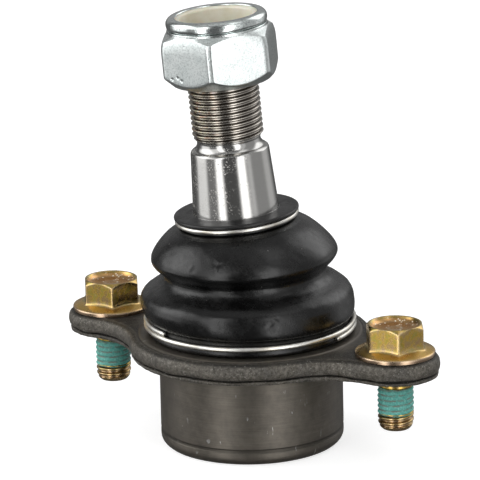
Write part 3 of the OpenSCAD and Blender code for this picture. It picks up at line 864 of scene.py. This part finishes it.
boot_rings = boot_rings + boot_section[:, None, 3:] * toward_lean
print("the rubber's lumps reach", round(float(np.abs(lift).max()), 2), "mm")

# %% [markdown]
# Black rubber shows little but its gloss. The colour is nearly black, so the eye reads how sharp the
# reflections are, and that changes in clouds where the rubber was handled. So the recipe is mostly
# one for roughness, with a fine grain, a few pale specks and patches of dust.

# %% Finish of the rubber
def rubber_finish(name, dark, light, gloss, grain_size=0.35):
    """Satin black rubber: a fine mould grain, cloudy and worn gloss, pale specks, and dust that has
    settled in patches. dark and light are its greys, and gloss is its lowest roughness."""
    material, tree, shader = new_finish(name, Specular_IOR_Level=0.42)
    place = place_in_mm(tree)
    fine = noise(tree, place, grain_size, 3, 0.6)
    cloudy = noise(tree, place, 7, 4, 0.55)
    black = ramp(tree, cloudy, [(0.35, (dark,) * 3), (0.7, (light,) * 3)])
    patches = scaled(tree, noise(tree, place, 11, 5, 0.7), 0.60, 0.74)
    dust = times(tree, patches, scaled(tree, noise(tree, place, 0.6, 4, 0.7), 0.45, 0.75))
    specks = scaled(tree, noise(tree, place, 1.3, 2, 0.9), 0.765, 0.79)
    black = tinted(tree, black, dust, 0.25, 0.12, 0.115, 0.11)
    black = blended(tree, specks, black, colour(0.42, 0.41, 0.39))
    worn = noise(tree, place, 1.6, 4, 0.7)
    rough = scaled(tree, times(tree, cloudy, worn), 0.12, 0.42, gloss, gloss + 0.24)
    wire_up(tree, shader, Base_Color=black, Roughness=rough,
            Normal=relief(tree, fine, 0.05, 0.7, relief(tree, worn, 0.04, 0.6)))
    return material


boot_rubber = rubber_finish("boot_rubber_satin", 0.0016, 0.0030, 0.15)
boot = make_piece("bellows_boot", skin(boot_rings, looped=True), boot_rubber, "boot",
                  upright=boot_upright.reshape(-1, 3))
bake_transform(boot)

# %% [markdown]
# Two round spring wires hold the boot. A wire is a circle carried along a helix: at each step the
# circle stands on the line from the axis and the axis itself, which is close enough to square to
# the wire because the helix is so flat. The ends are sheared off, so the last rings shrink quickly
# to leave a small burr-free edge.

# %% Wound wires
WIRE_R, SHEARED_R, SHEARED_STEP = 0.7, 0.82, 0.12
LOWER_WIRE_R, LOWER_WIRE_TOP, LOWER_PITCH, LOWER_START, LOWER_SWEEP = 29.4, 9.2, 1.5, -2, 610
UPPER_WIRE_R, UPPER_WIRE_Z, UPPER_START, UPPER_SWEEP = 16.8, 39.75, 60, 350


def wound_wire(radius, start_z, start, sweep, pitch, sides=20, step=2.5):
    """Rings of radius WIRE_R whose centre runs at (radius, start_z + pitch * turns), closed by
    a smaller ring at each end."""
    turns = np.radians(np.linspace(start, start + sweep, round(sweep / step)))
    turns = np.concatenate([turns[:1], turns, turns[-1:]])
    size = np.full(len(turns), WIRE_R)
    size[[0, -1]] = WIRE_R * SHEARED_R
    slip = np.zeros(len(turns))
    slip[[0, -1]] = np.array([-1, 1]) * SHEARED_STEP / radius
    a, b = (turns + slip)[:, None], around(sides)[None]
    out = radius + size[:, None] * np.cos(b)
    height = start_z + pitch * (a - math.radians(start)) / math.tau + size[:, None] * np.sin(b)
    return np.stack([out * np.cos(a), out * np.sin(a), height + 0 * b], -1)[:, ::-1]


def drawn_wire_finish():
    """Bright drawn wire: clouds of slightly warmer, duller steel, a little flatter than they are long."""
    material, tree, shader = new_finish("drawn_wire", Metallic=1.0)
    streaks = noise(tree, place_in_mm(tree, (1, 1, 1.6)), 4.0, 3, 0.6)
    steel = ramp(tree, streaks, [(0.3, (0.68, 0.64, 0.55)), (0.6, (0.84, 0.83, 0.79))])
    wire_up(tree, shader, Base_Color=steel,
            Roughness=scaled(tree, streaks, 0.3, 0.7, 0.30, 0.40), Normal=relief(tree, streaks, 0.004, 0.5))
    return material


wire_steel = drawn_wire_finish()
lower_start_z = LOWER_WIRE_TOP - LOWER_PITCH * (LOWER_SWEEP / 2) / 360
lower_path = wound_wire(LOWER_WIRE_R, lower_start_z, LOWER_START, LOWER_SWEEP, LOWER_PITCH)
make_piece("lower_wire", skin(lower_path), wire_steel, "lower_clamp_wire", body="housing")
upper_path = wound_wire(UPPER_WIRE_R, UPPER_WIRE_Z, UPPER_START, UPPER_SWEEP, 0)
make_piece("upper_wire", skin(leaned(upper_path)), wire_steel, "upper_clamp_wire",
           upright=with_ends(upper_path), body="collar")

# %% [markdown]
# A rubber-coated disc seals the top of the boot against the stud, with a sleeve that the boot grips
# from outside. It is a plain turned form, with soft edges and a satin skin.

# %% Sealing ring
SLEEVE_R, SLEEVE_FOOT, DISC_R = 12.76, 36.2, 17.65
ring_section = refine(soften([[SLEEVE_R, SLEEVE_FOOT], [13.9, SLEEVE_FOOT], [13.9, 40.6], [17.3, 40.6],
                              [DISC_R, 40.75], [DISC_R, 41.35], [17.3, 41.62], [12.3, 41.82], [12.17, 41.62],
                              [SLEEVE_R, 41.58], [SLEEVE_R, SLEEVE_FOOT]],
                             [0, 0.15, 0.1, 0.15, 0.2, 0.22, 0.3, 0.08, 0.02, 0.05, 0], 3)[:-1], 1.2)
ring_rings = turned(ring_section, around(160))
ring_rubber = rubber_finish("ring_rubber_satin", 0.008, 0.014, 0.27, 0.5)
make_piece("seal_disc", skin(leaned(ring_rings), looped=True), ring_rubber, "sealing_ring",
           upright=ring_rings.reshape(-1, 3), body="collar")

# %% [markdown]
# A hexagon is not a turned form, but it can be written as one: at each angle the radius of a flat is
# half the width across flats over the cosine of the angle from that flat's middle. The round bevels
# at the top and bottom of the nut meet each flat in a curve, whose height follows from that radius.
# So the profile has its own heights at every angle, and its rows follow those curves.

# %% Hexagons
HALF_SIDE = math.pi / 6


def hexagon(flats, corner_r, turn, per_side):
    """Angles and radii of a hexagon whose corners are rounded off by an arc of radius corner_r.
    Angles crowd towards the corners, as u -> sign(u) |u|^1.6."""
    u = (np.arange(per_side) + 0.5) / per_side * 2 - 1
    off_corner = HALF_SIDE * np.sign(u) * np.abs(u) ** 1.6
    reach = (flats / 2 - corner_r) / math.cos(HALF_SIDE)
    on_flat = flats / 2 / np.cos(HALF_SIDE - np.abs(off_corner))
    beside = reach * np.sin(off_corner)
    on_arc = reach * np.cos(off_corner) + np.sqrt(np.maximum(corner_r ** 2 - beside ** 2, 0))
    arc_ends = math.atan2(corner_r / 2, reach + corner_r * math.cos(HALF_SIDE))
    radius = np.where(np.abs(off_corner) < arc_ends, on_arc, on_flat)
    angles = np.concatenate([off_corner + math.radians(turn + 60 * k) for k in range(6)])
    return angles, np.tile(radius, 6)


def per_angle(corners, angles):
    """Corners (radius, height, cut), with numbers or one value per angle, as a profile for each angle
    and its cuts."""
    flat = [np.broadcast_to(value, len(angles)) for corner in corners for value in corner[:2]]
    profile = np.stack(flat).reshape(-1, 2, len(angles)).transpose(0, 2, 1)
    return profile, [corner[2] for corner in corners]


turns, reach = hexagon(30, 0.5, 0, 30)
print("a 30 mm hexagon reaches", round(float(reach.max()), 2), "mm at its", len(turns) // 30, "corners")


# %% Section of the nut
NUT_FOOT, NUT_HEIGHT, NUT_FLATS, NUT_CORNER_R, NUT_TURN = 79.1, 19.2, 30.0, 16.95, -6.0
nut_angles, nut_r = hexagon(NUT_FLATS, 0.5, NUT_TURN, 30)
nut_r = np.minimum(nut_r, NUT_CORNER_R)
nut_top = NUT_FOOT + NUT_HEIGHT
crimp_foot, hex_top, nylon_foot = nut_top - 3.4, nut_top - 4.0, nut_top - 6.2
low_crease = NUT_FOOT + (nut_r - 13.8) * 3.1 / 3.05
high_crease = hex_top - (nut_r - 14.1) * 1.6 / 2.75
# Each corner: radius, height and how much of it is cut. First the hexagon, then the collar and the bore
nut_corners = [
    (11.2, NUT_FOOT, 0), (13.7, NUT_FOOT, 0.3), (nut_r, low_crease, 0.5), (nut_r, high_crease - 2.9, 1.4),
    (nut_r - 0.18, high_crease - 1.4, 0.7), (nut_r - 0.62, high_crease, 0.12), (14.1, hex_top, 0.12),
    (14.15, hex_top + 0.25, 0.25), (14.0, hex_top + 0.6, 0.12), (13.25, hex_top + 0.7, 0.08),
    (13.25, crimp_foot + 0.2, 0.08), (13.95, crimp_foot + 0.3, 0.15), (14.2, crimp_foot + 1.0, 0.6),
    (14.15, crimp_foot + 2.2, 0.9), (13.3, nut_top - 0.25, 0.6), (12.2, nut_top - 0.02, 0.35),
    (11.55, nut_top - 0.25, 0.15), (11.4, nut_top - 0.5, 0.1), (11.45, nut_top - 0.7, 0.1),
    (12.6, nut_top - 1.15, 0.1), (12.6, nylon_foot - 0.04, 0.1), (10.06, nylon_foot - 0.04, 0.1),
    (10.06, NUT_FOOT + 1.2, 0.1), (11.2, NUT_FOOT, 0)]
nut_section = refine(soften(*per_angle(nut_corners, nut_angles), 4)[:-1], 1.1)
nut_upright = turned(nut_section, nut_angles)
print("the nut has", len(nut_section), "rings of", len(nut_angles), "points")

# %% [markdown]
# Bright zinc plate is a pale metal with a touch of blue. The hexagon keeps the fine pebbles of the
# forged blank, while the collar was pressed smooth over the nylon. So the roughness follows the
# height on the nut, and a few dents are pressed into the bump where a spanner has been.

# %% Lock nut piece and its zinc plate
# Three small knocks low on one flat, where a spanner or another nut has hit it
NUT_KNOCKS = [(-6.9, -14.37, 82.5), (-4.9, -14.58, 83.0), (-3.6, -14.71, 82.2)]


def zinc_finish():
    """Bright zinc plate: blue white and finely pebbled on the hexagon, smoother where the collar was
    pressed over the nylon, with clouds of duller plate and small dents."""
    material, tree, shader = new_finish("bright_zinc", Metallic=1.0)
    place = place_in_mm(tree)
    clouds, pits = noise(tree, place, 5, 3), noise(tree, place, 0.45, 3, 0.7)
    plate = ramp(tree, clouds, [(0.35, (0.70, 0.75, 0.74)), (0.65, (0.79, 0.83, 0.82))])
    plate = shaded(tree, plate, ramp(tree, pits, [(0.36, (0.68, 0.69, 0.69)), (0.54, (1, 1, 1))]))
    pressed = scaled(tree, parts_of(tree, place)["Z"], hex_top - 0.5, hex_top + 0.5)
    matt = scaled(tree, clouds, 0.35, 0.65, 0.34, 0.28)
    shiny = scaled(tree, clouds, 0.35, 0.65, 0.18, 0.11)
    dents = scaled(tree, noise(tree, place, 1.6, 1, 0.5), 0.74, 0.84)
    normal = relief(tree, pits, 0.03, 0.8, relief(tree, dents, -0.15, 0.6))
    for knock in NUT_KNOCKS:
        apart = add(tree, "VectorMath", {0: place, 1: knock}, operation="DISTANCE").outputs["Value"]
        normal = relief(tree, scaled(tree, apart, 0.65, 0.2), -0.2, 0.8, normal)
    wire_up(tree, shader, Base_Color=plate, Roughness=between(tree, pressed, matt, shiny), Normal=normal)
    return material


bright_zinc = zinc_finish()
make_piece("crimped_nut", skin(leaned(nut_upright), looped=True), bright_zinc, "lock_nut",
           upright=nut_upright.reshape(-1, 3), body="nut", sharp=70)

# %% [markdown]
# The nylon ring sits in the crimped collar and grips the thread. It is moulded, so its top is a
# little dished and its colour is a warm cream that is never quite even.

# %% Nylon ring
NYLON_BORE, NYLON_R, NYLON_EDGE = 10.08, 12.5, 97.1
ring_foot = nylon_foot + 0.03
nylon_section = refine(soften([[NYLON_BORE, ring_foot], [NYLON_R, ring_foot], [NYLON_R, NYLON_EDGE],
                               [11.5, NYLON_EDGE + 0.56], [10.9, NYLON_EDGE + 0.58], [10.3, NYLON_EDGE + 0.4],
                               [NYLON_BORE, NYLON_EDGE], [NYLON_BORE, ring_foot]], 0.15, 3)[:-1], 0.8)
nylon_rings = turned(nylon_section, around(120))


def nylon_finish():
    """Cream nylon that lets a little light in, with soft clouds of warmer and greyer cream."""
    material, tree, shader = new_finish("cream_nylon", Roughness=0.5, Subsurface_Weight=0.15,
                                        Subsurface_Scale=0.001)
    place = place_in_mm(tree)
    cream = ramp(tree, noise(tree, place, 4, 4), [(0.3, (0.70, 0.65, 0.50)), (0.7, (0.82, 0.79, 0.68))])
    wire_up(tree, shader, Base_Color=cream, Normal=relief(tree, noise(tree, place, 0.6, 3), 0.03, 0.5))
    return material


cream_nylon = nylon_finish()
make_piece("nylon_ring", skin(leaned(nylon_rings), looped=True), cream_nylon, "nylon_insert",
           upright=nylon_rings.reshape(-1, 3), body="nut_travel")

# %% [markdown]
# A flange bolt has its washer forged on. Its hexagon runs down into the washer's cone, and the two
# meet in a curve that is low at the corners and high at the middle of each flat. The head's top is
# dished. The thread below is the same height field as the stud's, with a coarser look because the
# bolt is half as thick. Where the coat lies, the shank is thinner, so that the coat has room.

# %% Surface of a flange bolt
BOLT_SEAT, HEAD_TOP, BOLT_FLATS, WASHER_R = 6.0, 15.0, 15.0, 11.2
BOLT_R, BOLT_PITCH, BOLT_TIP, GRIP_R, COAT_FOOT, COAT_TOP = 5.0, 1.5, -15.4, 4.5, -10.95, -3.1


def bolt_surface(x, turn):
    """The head as a hexagon with a washer below and a dish on top, and the shank as a thread. Also
    gives how far each point lies in the thread's root, and how sharply the head turns there."""
    angles, r = hexagon(BOLT_FLATS, 0.4, turn, 20)
    cone = BOLT_SEAT + 1.25 + (10.9 - r) * 0.42
    crown = HEAD_TOP - np.maximum(r - 7.5, 0) * 0.80
    corners = [
        (WASHER_R - 0.1, BOLT_SEAT + 0.1, 0), (WASHER_R + 0.03, BOLT_SEAT + 1.0, 0.3),
        (10.9, BOLT_SEAT + 1.28, 0.3), (r + 0.4, cone - 0.16, 0.35), (r, cone + 0.45, 0.35),
        (r, crown - 0.2, 0.25), (7.55, HEAD_TOP - 0.1, 0.12), (7.3, HEAD_TOP, 0.12),
        (7.0, HEAD_TOP - 0.08, 0.12), (6.5, HEAD_TOP - 0.75, 0.35), (5.7, HEAD_TOP - 1.4, 0.6),
        (4.0, HEAD_TOP - 1.6, 0.8), (1.2, HEAD_TOP - 1.5, 0)]
    head = refine(soften(*per_angle(corners, angles), 3), 0.8)
    neck_r = BOLT_R - 0.08
    shank = soften([[1.2, BOLT_TIP], [3.7, BOLT_TIP], [4.45, BOLT_TIP + 0.7], [BOLT_R, BOLT_TIP + 2.2],
                    [BOLT_R, COAT_FOOT + 0.6], [GRIP_R, COAT_FOOT + 0.9], [GRIP_R, COAT_TOP],
                    [neck_r, COAT_TOP + 0.3], [neck_r, BOLT_SEAT - 0.2], [BOLT_R, BOLT_SEAT],
                    [WASHER_R - 0.4, BOLT_SEAT], [WASHER_R - 0.1, BOLT_SEAT + 0.1]],
                   [0, 0.3, 0.4, 0.4, 0.1, 0.1, 0.1, 0.1, 0.1, 0.1, 0.1, 0], 3)
    threads = refine(shank[:-3], BOLT_PITCH / 16)
    section, root = threaded(threads, angles, BOLT_PITCH, 0.75, BOLT_R, BOLT_TIP - 1, COAT_FOOT + 0.4,
                             land=0.26)
    rest = np.repeat(shank[-3:, None], len(angles), axis=1)
    section = np.concatenate([section, rest, head[1:]])
    root = np.concatenate([root, np.zeros((len(section) - len(root), len(angles)))])
    rings = turned(section, angles)
    n = ring_normals(rings)
    turning = np.linalg.norm(np.roll(n, -1, 1) - np.roll(n, 1, 1), axis=-1)
    turning[1:-1] = np.maximum(turning[1:-1], np.linalg.norm(n[2:] - n[:-2], axis=-1))
    on_head = (rings[..., 2] > BOLT_SEAT + 0.9) & (rings[..., 2] < HEAD_TOP + 1)
    return rings + np.array([x, 0, 0]), rings, root, np.clip(turning * on_head, 0, 1)


print("a flange bolt is", round(HEAD_TOP - BOLT_TIP, 1), "mm tall")


# %% [markdown]
# Yellow zinc has its colour from a thin film, which shifts between gold, pink and olive with its
# thickness and wears off at the edges. A ramp over soft noise gives the drift. The mesh hands over
# what noise can't know: how sharply the surface turns, where the edges are painted pale, partly as
# worn plate and partly as painted highlight, and how deep a point lies in the thread, where painted
# shade darkens it.

# %% Finish of the bolts: yellow passivated zinc
def yellow_zinc_finish():
    """Yellow passivated zinc: gold that drifts to pink, brown and olive, pale on the edges from thin, worn
    plate and from painted highlight, copper coloured in the dish of the head with specks of dry residue,
    and darker brown in the thread's roots and flanks as painted shade."""
    material, tree, shader = new_finish("yellow_zinc_plate", Metallic=1.0)
    place = place_in_mm(tree)
    drift, fine = noise(tree, place, 2.4, 4, 0.65), noise(tree, place, 0.3, 3, 0.7)
    gold = ramp(tree, drift, [(0.32, (0.46, 0.28, 0.14)), (0.42, (0.47, 0.33, 0.12)),
                              (0.50, (0.56, 0.36, 0.07)), (0.57, (0.38, 0.31, 0.05)),
                              (0.66, (0.50, 0.37, 0.15))])
    parts = parts_of(tree, place)
    height, sideways = parts["Z"], add(tree, "CombineXYZ", {"X": parts["X"], "Y": parts["Y"]}).outputs[0]
    radius = add(tree, "VectorMath", {0: sideways}, operation="LENGTH").outputs["Value"]
    washed, on_washer = scaled(tree, fine, 0.45, 0.75), scaled(tree, radius, 8.2, 8.8)
    rim = times(tree, scaled(tree, radius, 10.7, 11.1), scaled(tree, height, 7.5, 7.0))
    in_dish = times(tree, scaled(tree, height, HEAD_TOP - 1.9, HEAD_TOP - 1.8),
                    scaled(tree, radius, 6.9, 6.4))
    gold = tinted(tree, gold, washed, 0.35, 0.50, 0.40, 0.27)
    gold = tinted(tree, gold, on_washer, 0.55, 0.74, 0.45, 0.13)
    gold = tinted(tree, gold, rim, 0.8, 0.50, 0.37, 0.29)
    gold = tinted(tree, gold, in_dish, 0.7, 0.58, 0.28, 0.10)
    # Pale edges: partly thin, worn plate and partly a painted highlight
    gold = tinted(tree, gold, carried(tree, "edge"), 0.7, 0.70, 0.58, 0.43)
    grains = add(tree, "TexVoronoi", {"Vector": place, "Scale": 0.85}).outputs["Distance"]
    residue = times(tree, scaled(tree, grains, 0.23, 0.17), in_dish)
    gold = blended(tree, residue, gold, colour(1.0, 0.90, 0.72))
    # Painted shade: dark brown in the thread's roots and on its flanks
    gold = tinted(tree, gold, carried(tree, "root"), 0.7, 0.20, 0.13, 0.07)
    on_shank = scaled(tree, height, COAT_FOOT, COAT_FOOT - 0.5)
    gold = tinted(tree, gold, on_shank, 0.4, 0.62, 0.47, 0.33)
    wire_up(tree, shader, Base_Color=gold, Roughness=scaled(tree, drift, 0.3, 0.7, 0.22, 0.34),
            Metallic=between(tree, residue, 1.0, 0.0), Normal=relief(tree, fine, 0.02, 0.6))
    return material


yellow_zinc = yellow_zinc_finish()
print("the bolts' finish has", len(yellow_zinc.node_tree.nodes), "nodes")

# %% Flange bolts in their ears
for side, name, turn in ((-1, "left", 6.2), (1, "right", 6.9)):
    rings, upright, root, edge_wear_and_highlight = bolt_surface(side * EAR_X, turn)
    make_piece(f"{name}_bolt", skin(rings), yellow_zinc, f"flange_bolt_{name}", upright=with_ends(upright),
               marks={"root": with_ends(root), "edge": with_ends(edge_wear_and_highlight)}, body=f"bolt_{name}")

# %% [markdown]
# The dry threadlocking coat was brushed on as a paste, so it follows the thread but fills its roots.
# It is a sleeve on the thinner part of the shank, whose outside is a second thread, shallower than
# the bolt's and a little proud of it, with small lumps and with dirt in its grooves.

# %% Surface of the threadlocking coat
COAT_R, COAT_BORE, COAT_DEPTH, COAT_LUMPS = BOLT_R + 0.06, GRIP_R + 0.03, 0.42, 0.04


def coat_surface(x, angles):
    """A sleeve whose outside is a thread with narrow crests at COAT_R and roots COAT_DEPTH deeper,
    moved by smooth noise of COAT_LUMPS sideways and 0.6 of that along the bolt."""
    outside = refine(soften([[COAT_BORE, COAT_FOOT + 0.02], [4.75, COAT_FOOT + 0.02],
                             [COAT_R, COAT_FOOT + 0.5], [COAT_R, COAT_TOP - 0.5],
                             [GRIP_R + 0.12, COAT_TOP - 0.04], [COAT_BORE, COAT_TOP - 0.04]],
                            [0, 0.1, 0.3, 0.3, 0.05, 0], 3), BOLT_PITCH / 14)
    section, root = threaded(outside, angles, BOLT_PITCH, COAT_DEPTH, COAT_R, COAT_FOOT, COAT_TOP, 0.1, 0.0)
    rings = turned(section, angles)
    rings[1:-1] += COAT_LUMPS * grain(rings, 1.4, 31)[1:-1, :, None] * [1, 1, 0.6]
    return rings + np.array([x, 0, 0]), rings, root


print("the coat is", round(COAT_TOP - COAT_FOOT, 2), "mm long")


# %% Finish and pieces of the coat
def coat_finish():
    """Dry green blue coat, matt and a little crumbly, paler on its crests, with dirt in its grooves."""
    material, tree, shader = new_finish("dry_threadlock", Specular_IOR_Level=0.35)
    place = place_in_mm(tree)
    crumbs = noise(tree, place, 0.5, 4, 0.7)
    green = ramp(tree, crumbs, [(0.3, (0.06, 0.27, 0.23)), (0.52, (0.13, 0.45, 0.39)),
                                (0.7, (0.30, 0.62, 0.57))])
    streaks = noise(tree, place_in_mm(tree, (0.5, 0.5, 2)), 0.8, 3, 0.6)
    dirt = times(tree, scaled(tree, carried(tree, "root"), 0.45, 0.9), scaled(tree, streaks, 0.40, 0.52))
    green = tinted(tree, green, dirt, 0.8, 0.20, 0.15, 0.12)
    wire_up(tree, shader, Base_Color=green, Roughness=scaled(tree, crumbs, 0.3, 0.7, 0.5, 0.68),
            Normal=relief(tree, crumbs, 0.06, 0.7))
    return material


dry_coat = coat_finish()
for side, name in ((-1, "left"), (1, "right")):
    rings, upright, root = coat_surface(side * EAR_X, around(96))
    make_piece(f"{name}_coat", skin(rings, looped=True), dry_coat, f"threadlock_{name}",
               upright=upright.reshape(-1, 3), marks={"root": root.ravel()}, body=f"bolt_{name}")

# %% [markdown]
# The closing plate, the spring and the two halves of the bearing are inside, or seen only from
# below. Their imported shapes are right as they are, so they keep them and get a finish of their own,
# with patterns that read each node's object coordinates.

# %% Finishes of the inner nodes
def inner_finish(name, metallic, dark, light, rough, size):
    """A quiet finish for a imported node: two shades and a little relief from one noise."""
    material, tree, shader = new_finish(name, Metallic=metallic)
    pattern = noise(tree, place_in_mm(tree, attribute=None), size, 4, 0.6)
    wire_up(tree, shader, Base_Color=ramp(tree, pattern, [(0.3, dark), (0.7, light)]),
            Roughness=scaled(tree, pattern, 0.3, 0.7, rough, rough + 0.15),
            Normal=relief(tree, pattern, 0.02, 0.4))
    return material


PLASTIC = (0.74, 0.73, 0.66), (0.84, 0.83, 0.77)
INNER = {"closing_plate": inner_finish("pressed_plate", 1.0, (0.30, 0.30, 0.29), (0.45, 0.45, 0.44), 0.32, 3),
         "preload_spring": inner_finish("oiled_spring", 1.0, (0.20, 0.21, 0.23), (0.34, 0.35, 0.37), 0.30, 2),
         "lower_bearing": inner_finish("bearing_plastic_low", 0.0, *PLASTIC, 0.45, 5),
         "upper_bearing": inner_finish("bearing_plastic_high", 0.0, *PLASTIC, 0.45, 5)}
HIDDEN = {"housing": housing_paint, "ball_stud": ground_steel, "boot": boot_rubber,
          "lower_clamp_wire": wire_steel, "upper_clamp_wire": wire_steel, "sealing_ring": ring_rubber,
          "lock_nut": bright_zinc, "nylon_insert": cream_nylon, "flange_bolt_left": yellow_zinc,
          "flange_bolt_right": yellow_zinc, "threadlock_left": dry_coat, "threadlock_right": dry_coat}
for name, paint in {**INNER, **HIDDEN}.items():
    nodes[name].data.materials.clear()
    nodes[name].data.materials.append(paint)
print(len(INNER) + len(HIDDEN), "packed nodes have a finish")

# %% [markdown]
# The last cell works out the imported model's box and the finished model's box, and prints how far
# they differ.

# %% Sizes and end
boxes = {"cad": [list(corner) for corner in cad_box], "visual": [list(corner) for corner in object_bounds()]}
apart = np.abs(np.array(boxes["cad"]) - boxes["visual"]).max() / MM
print("the two boxes differ by at most", round(float(apart), 2), "mm")
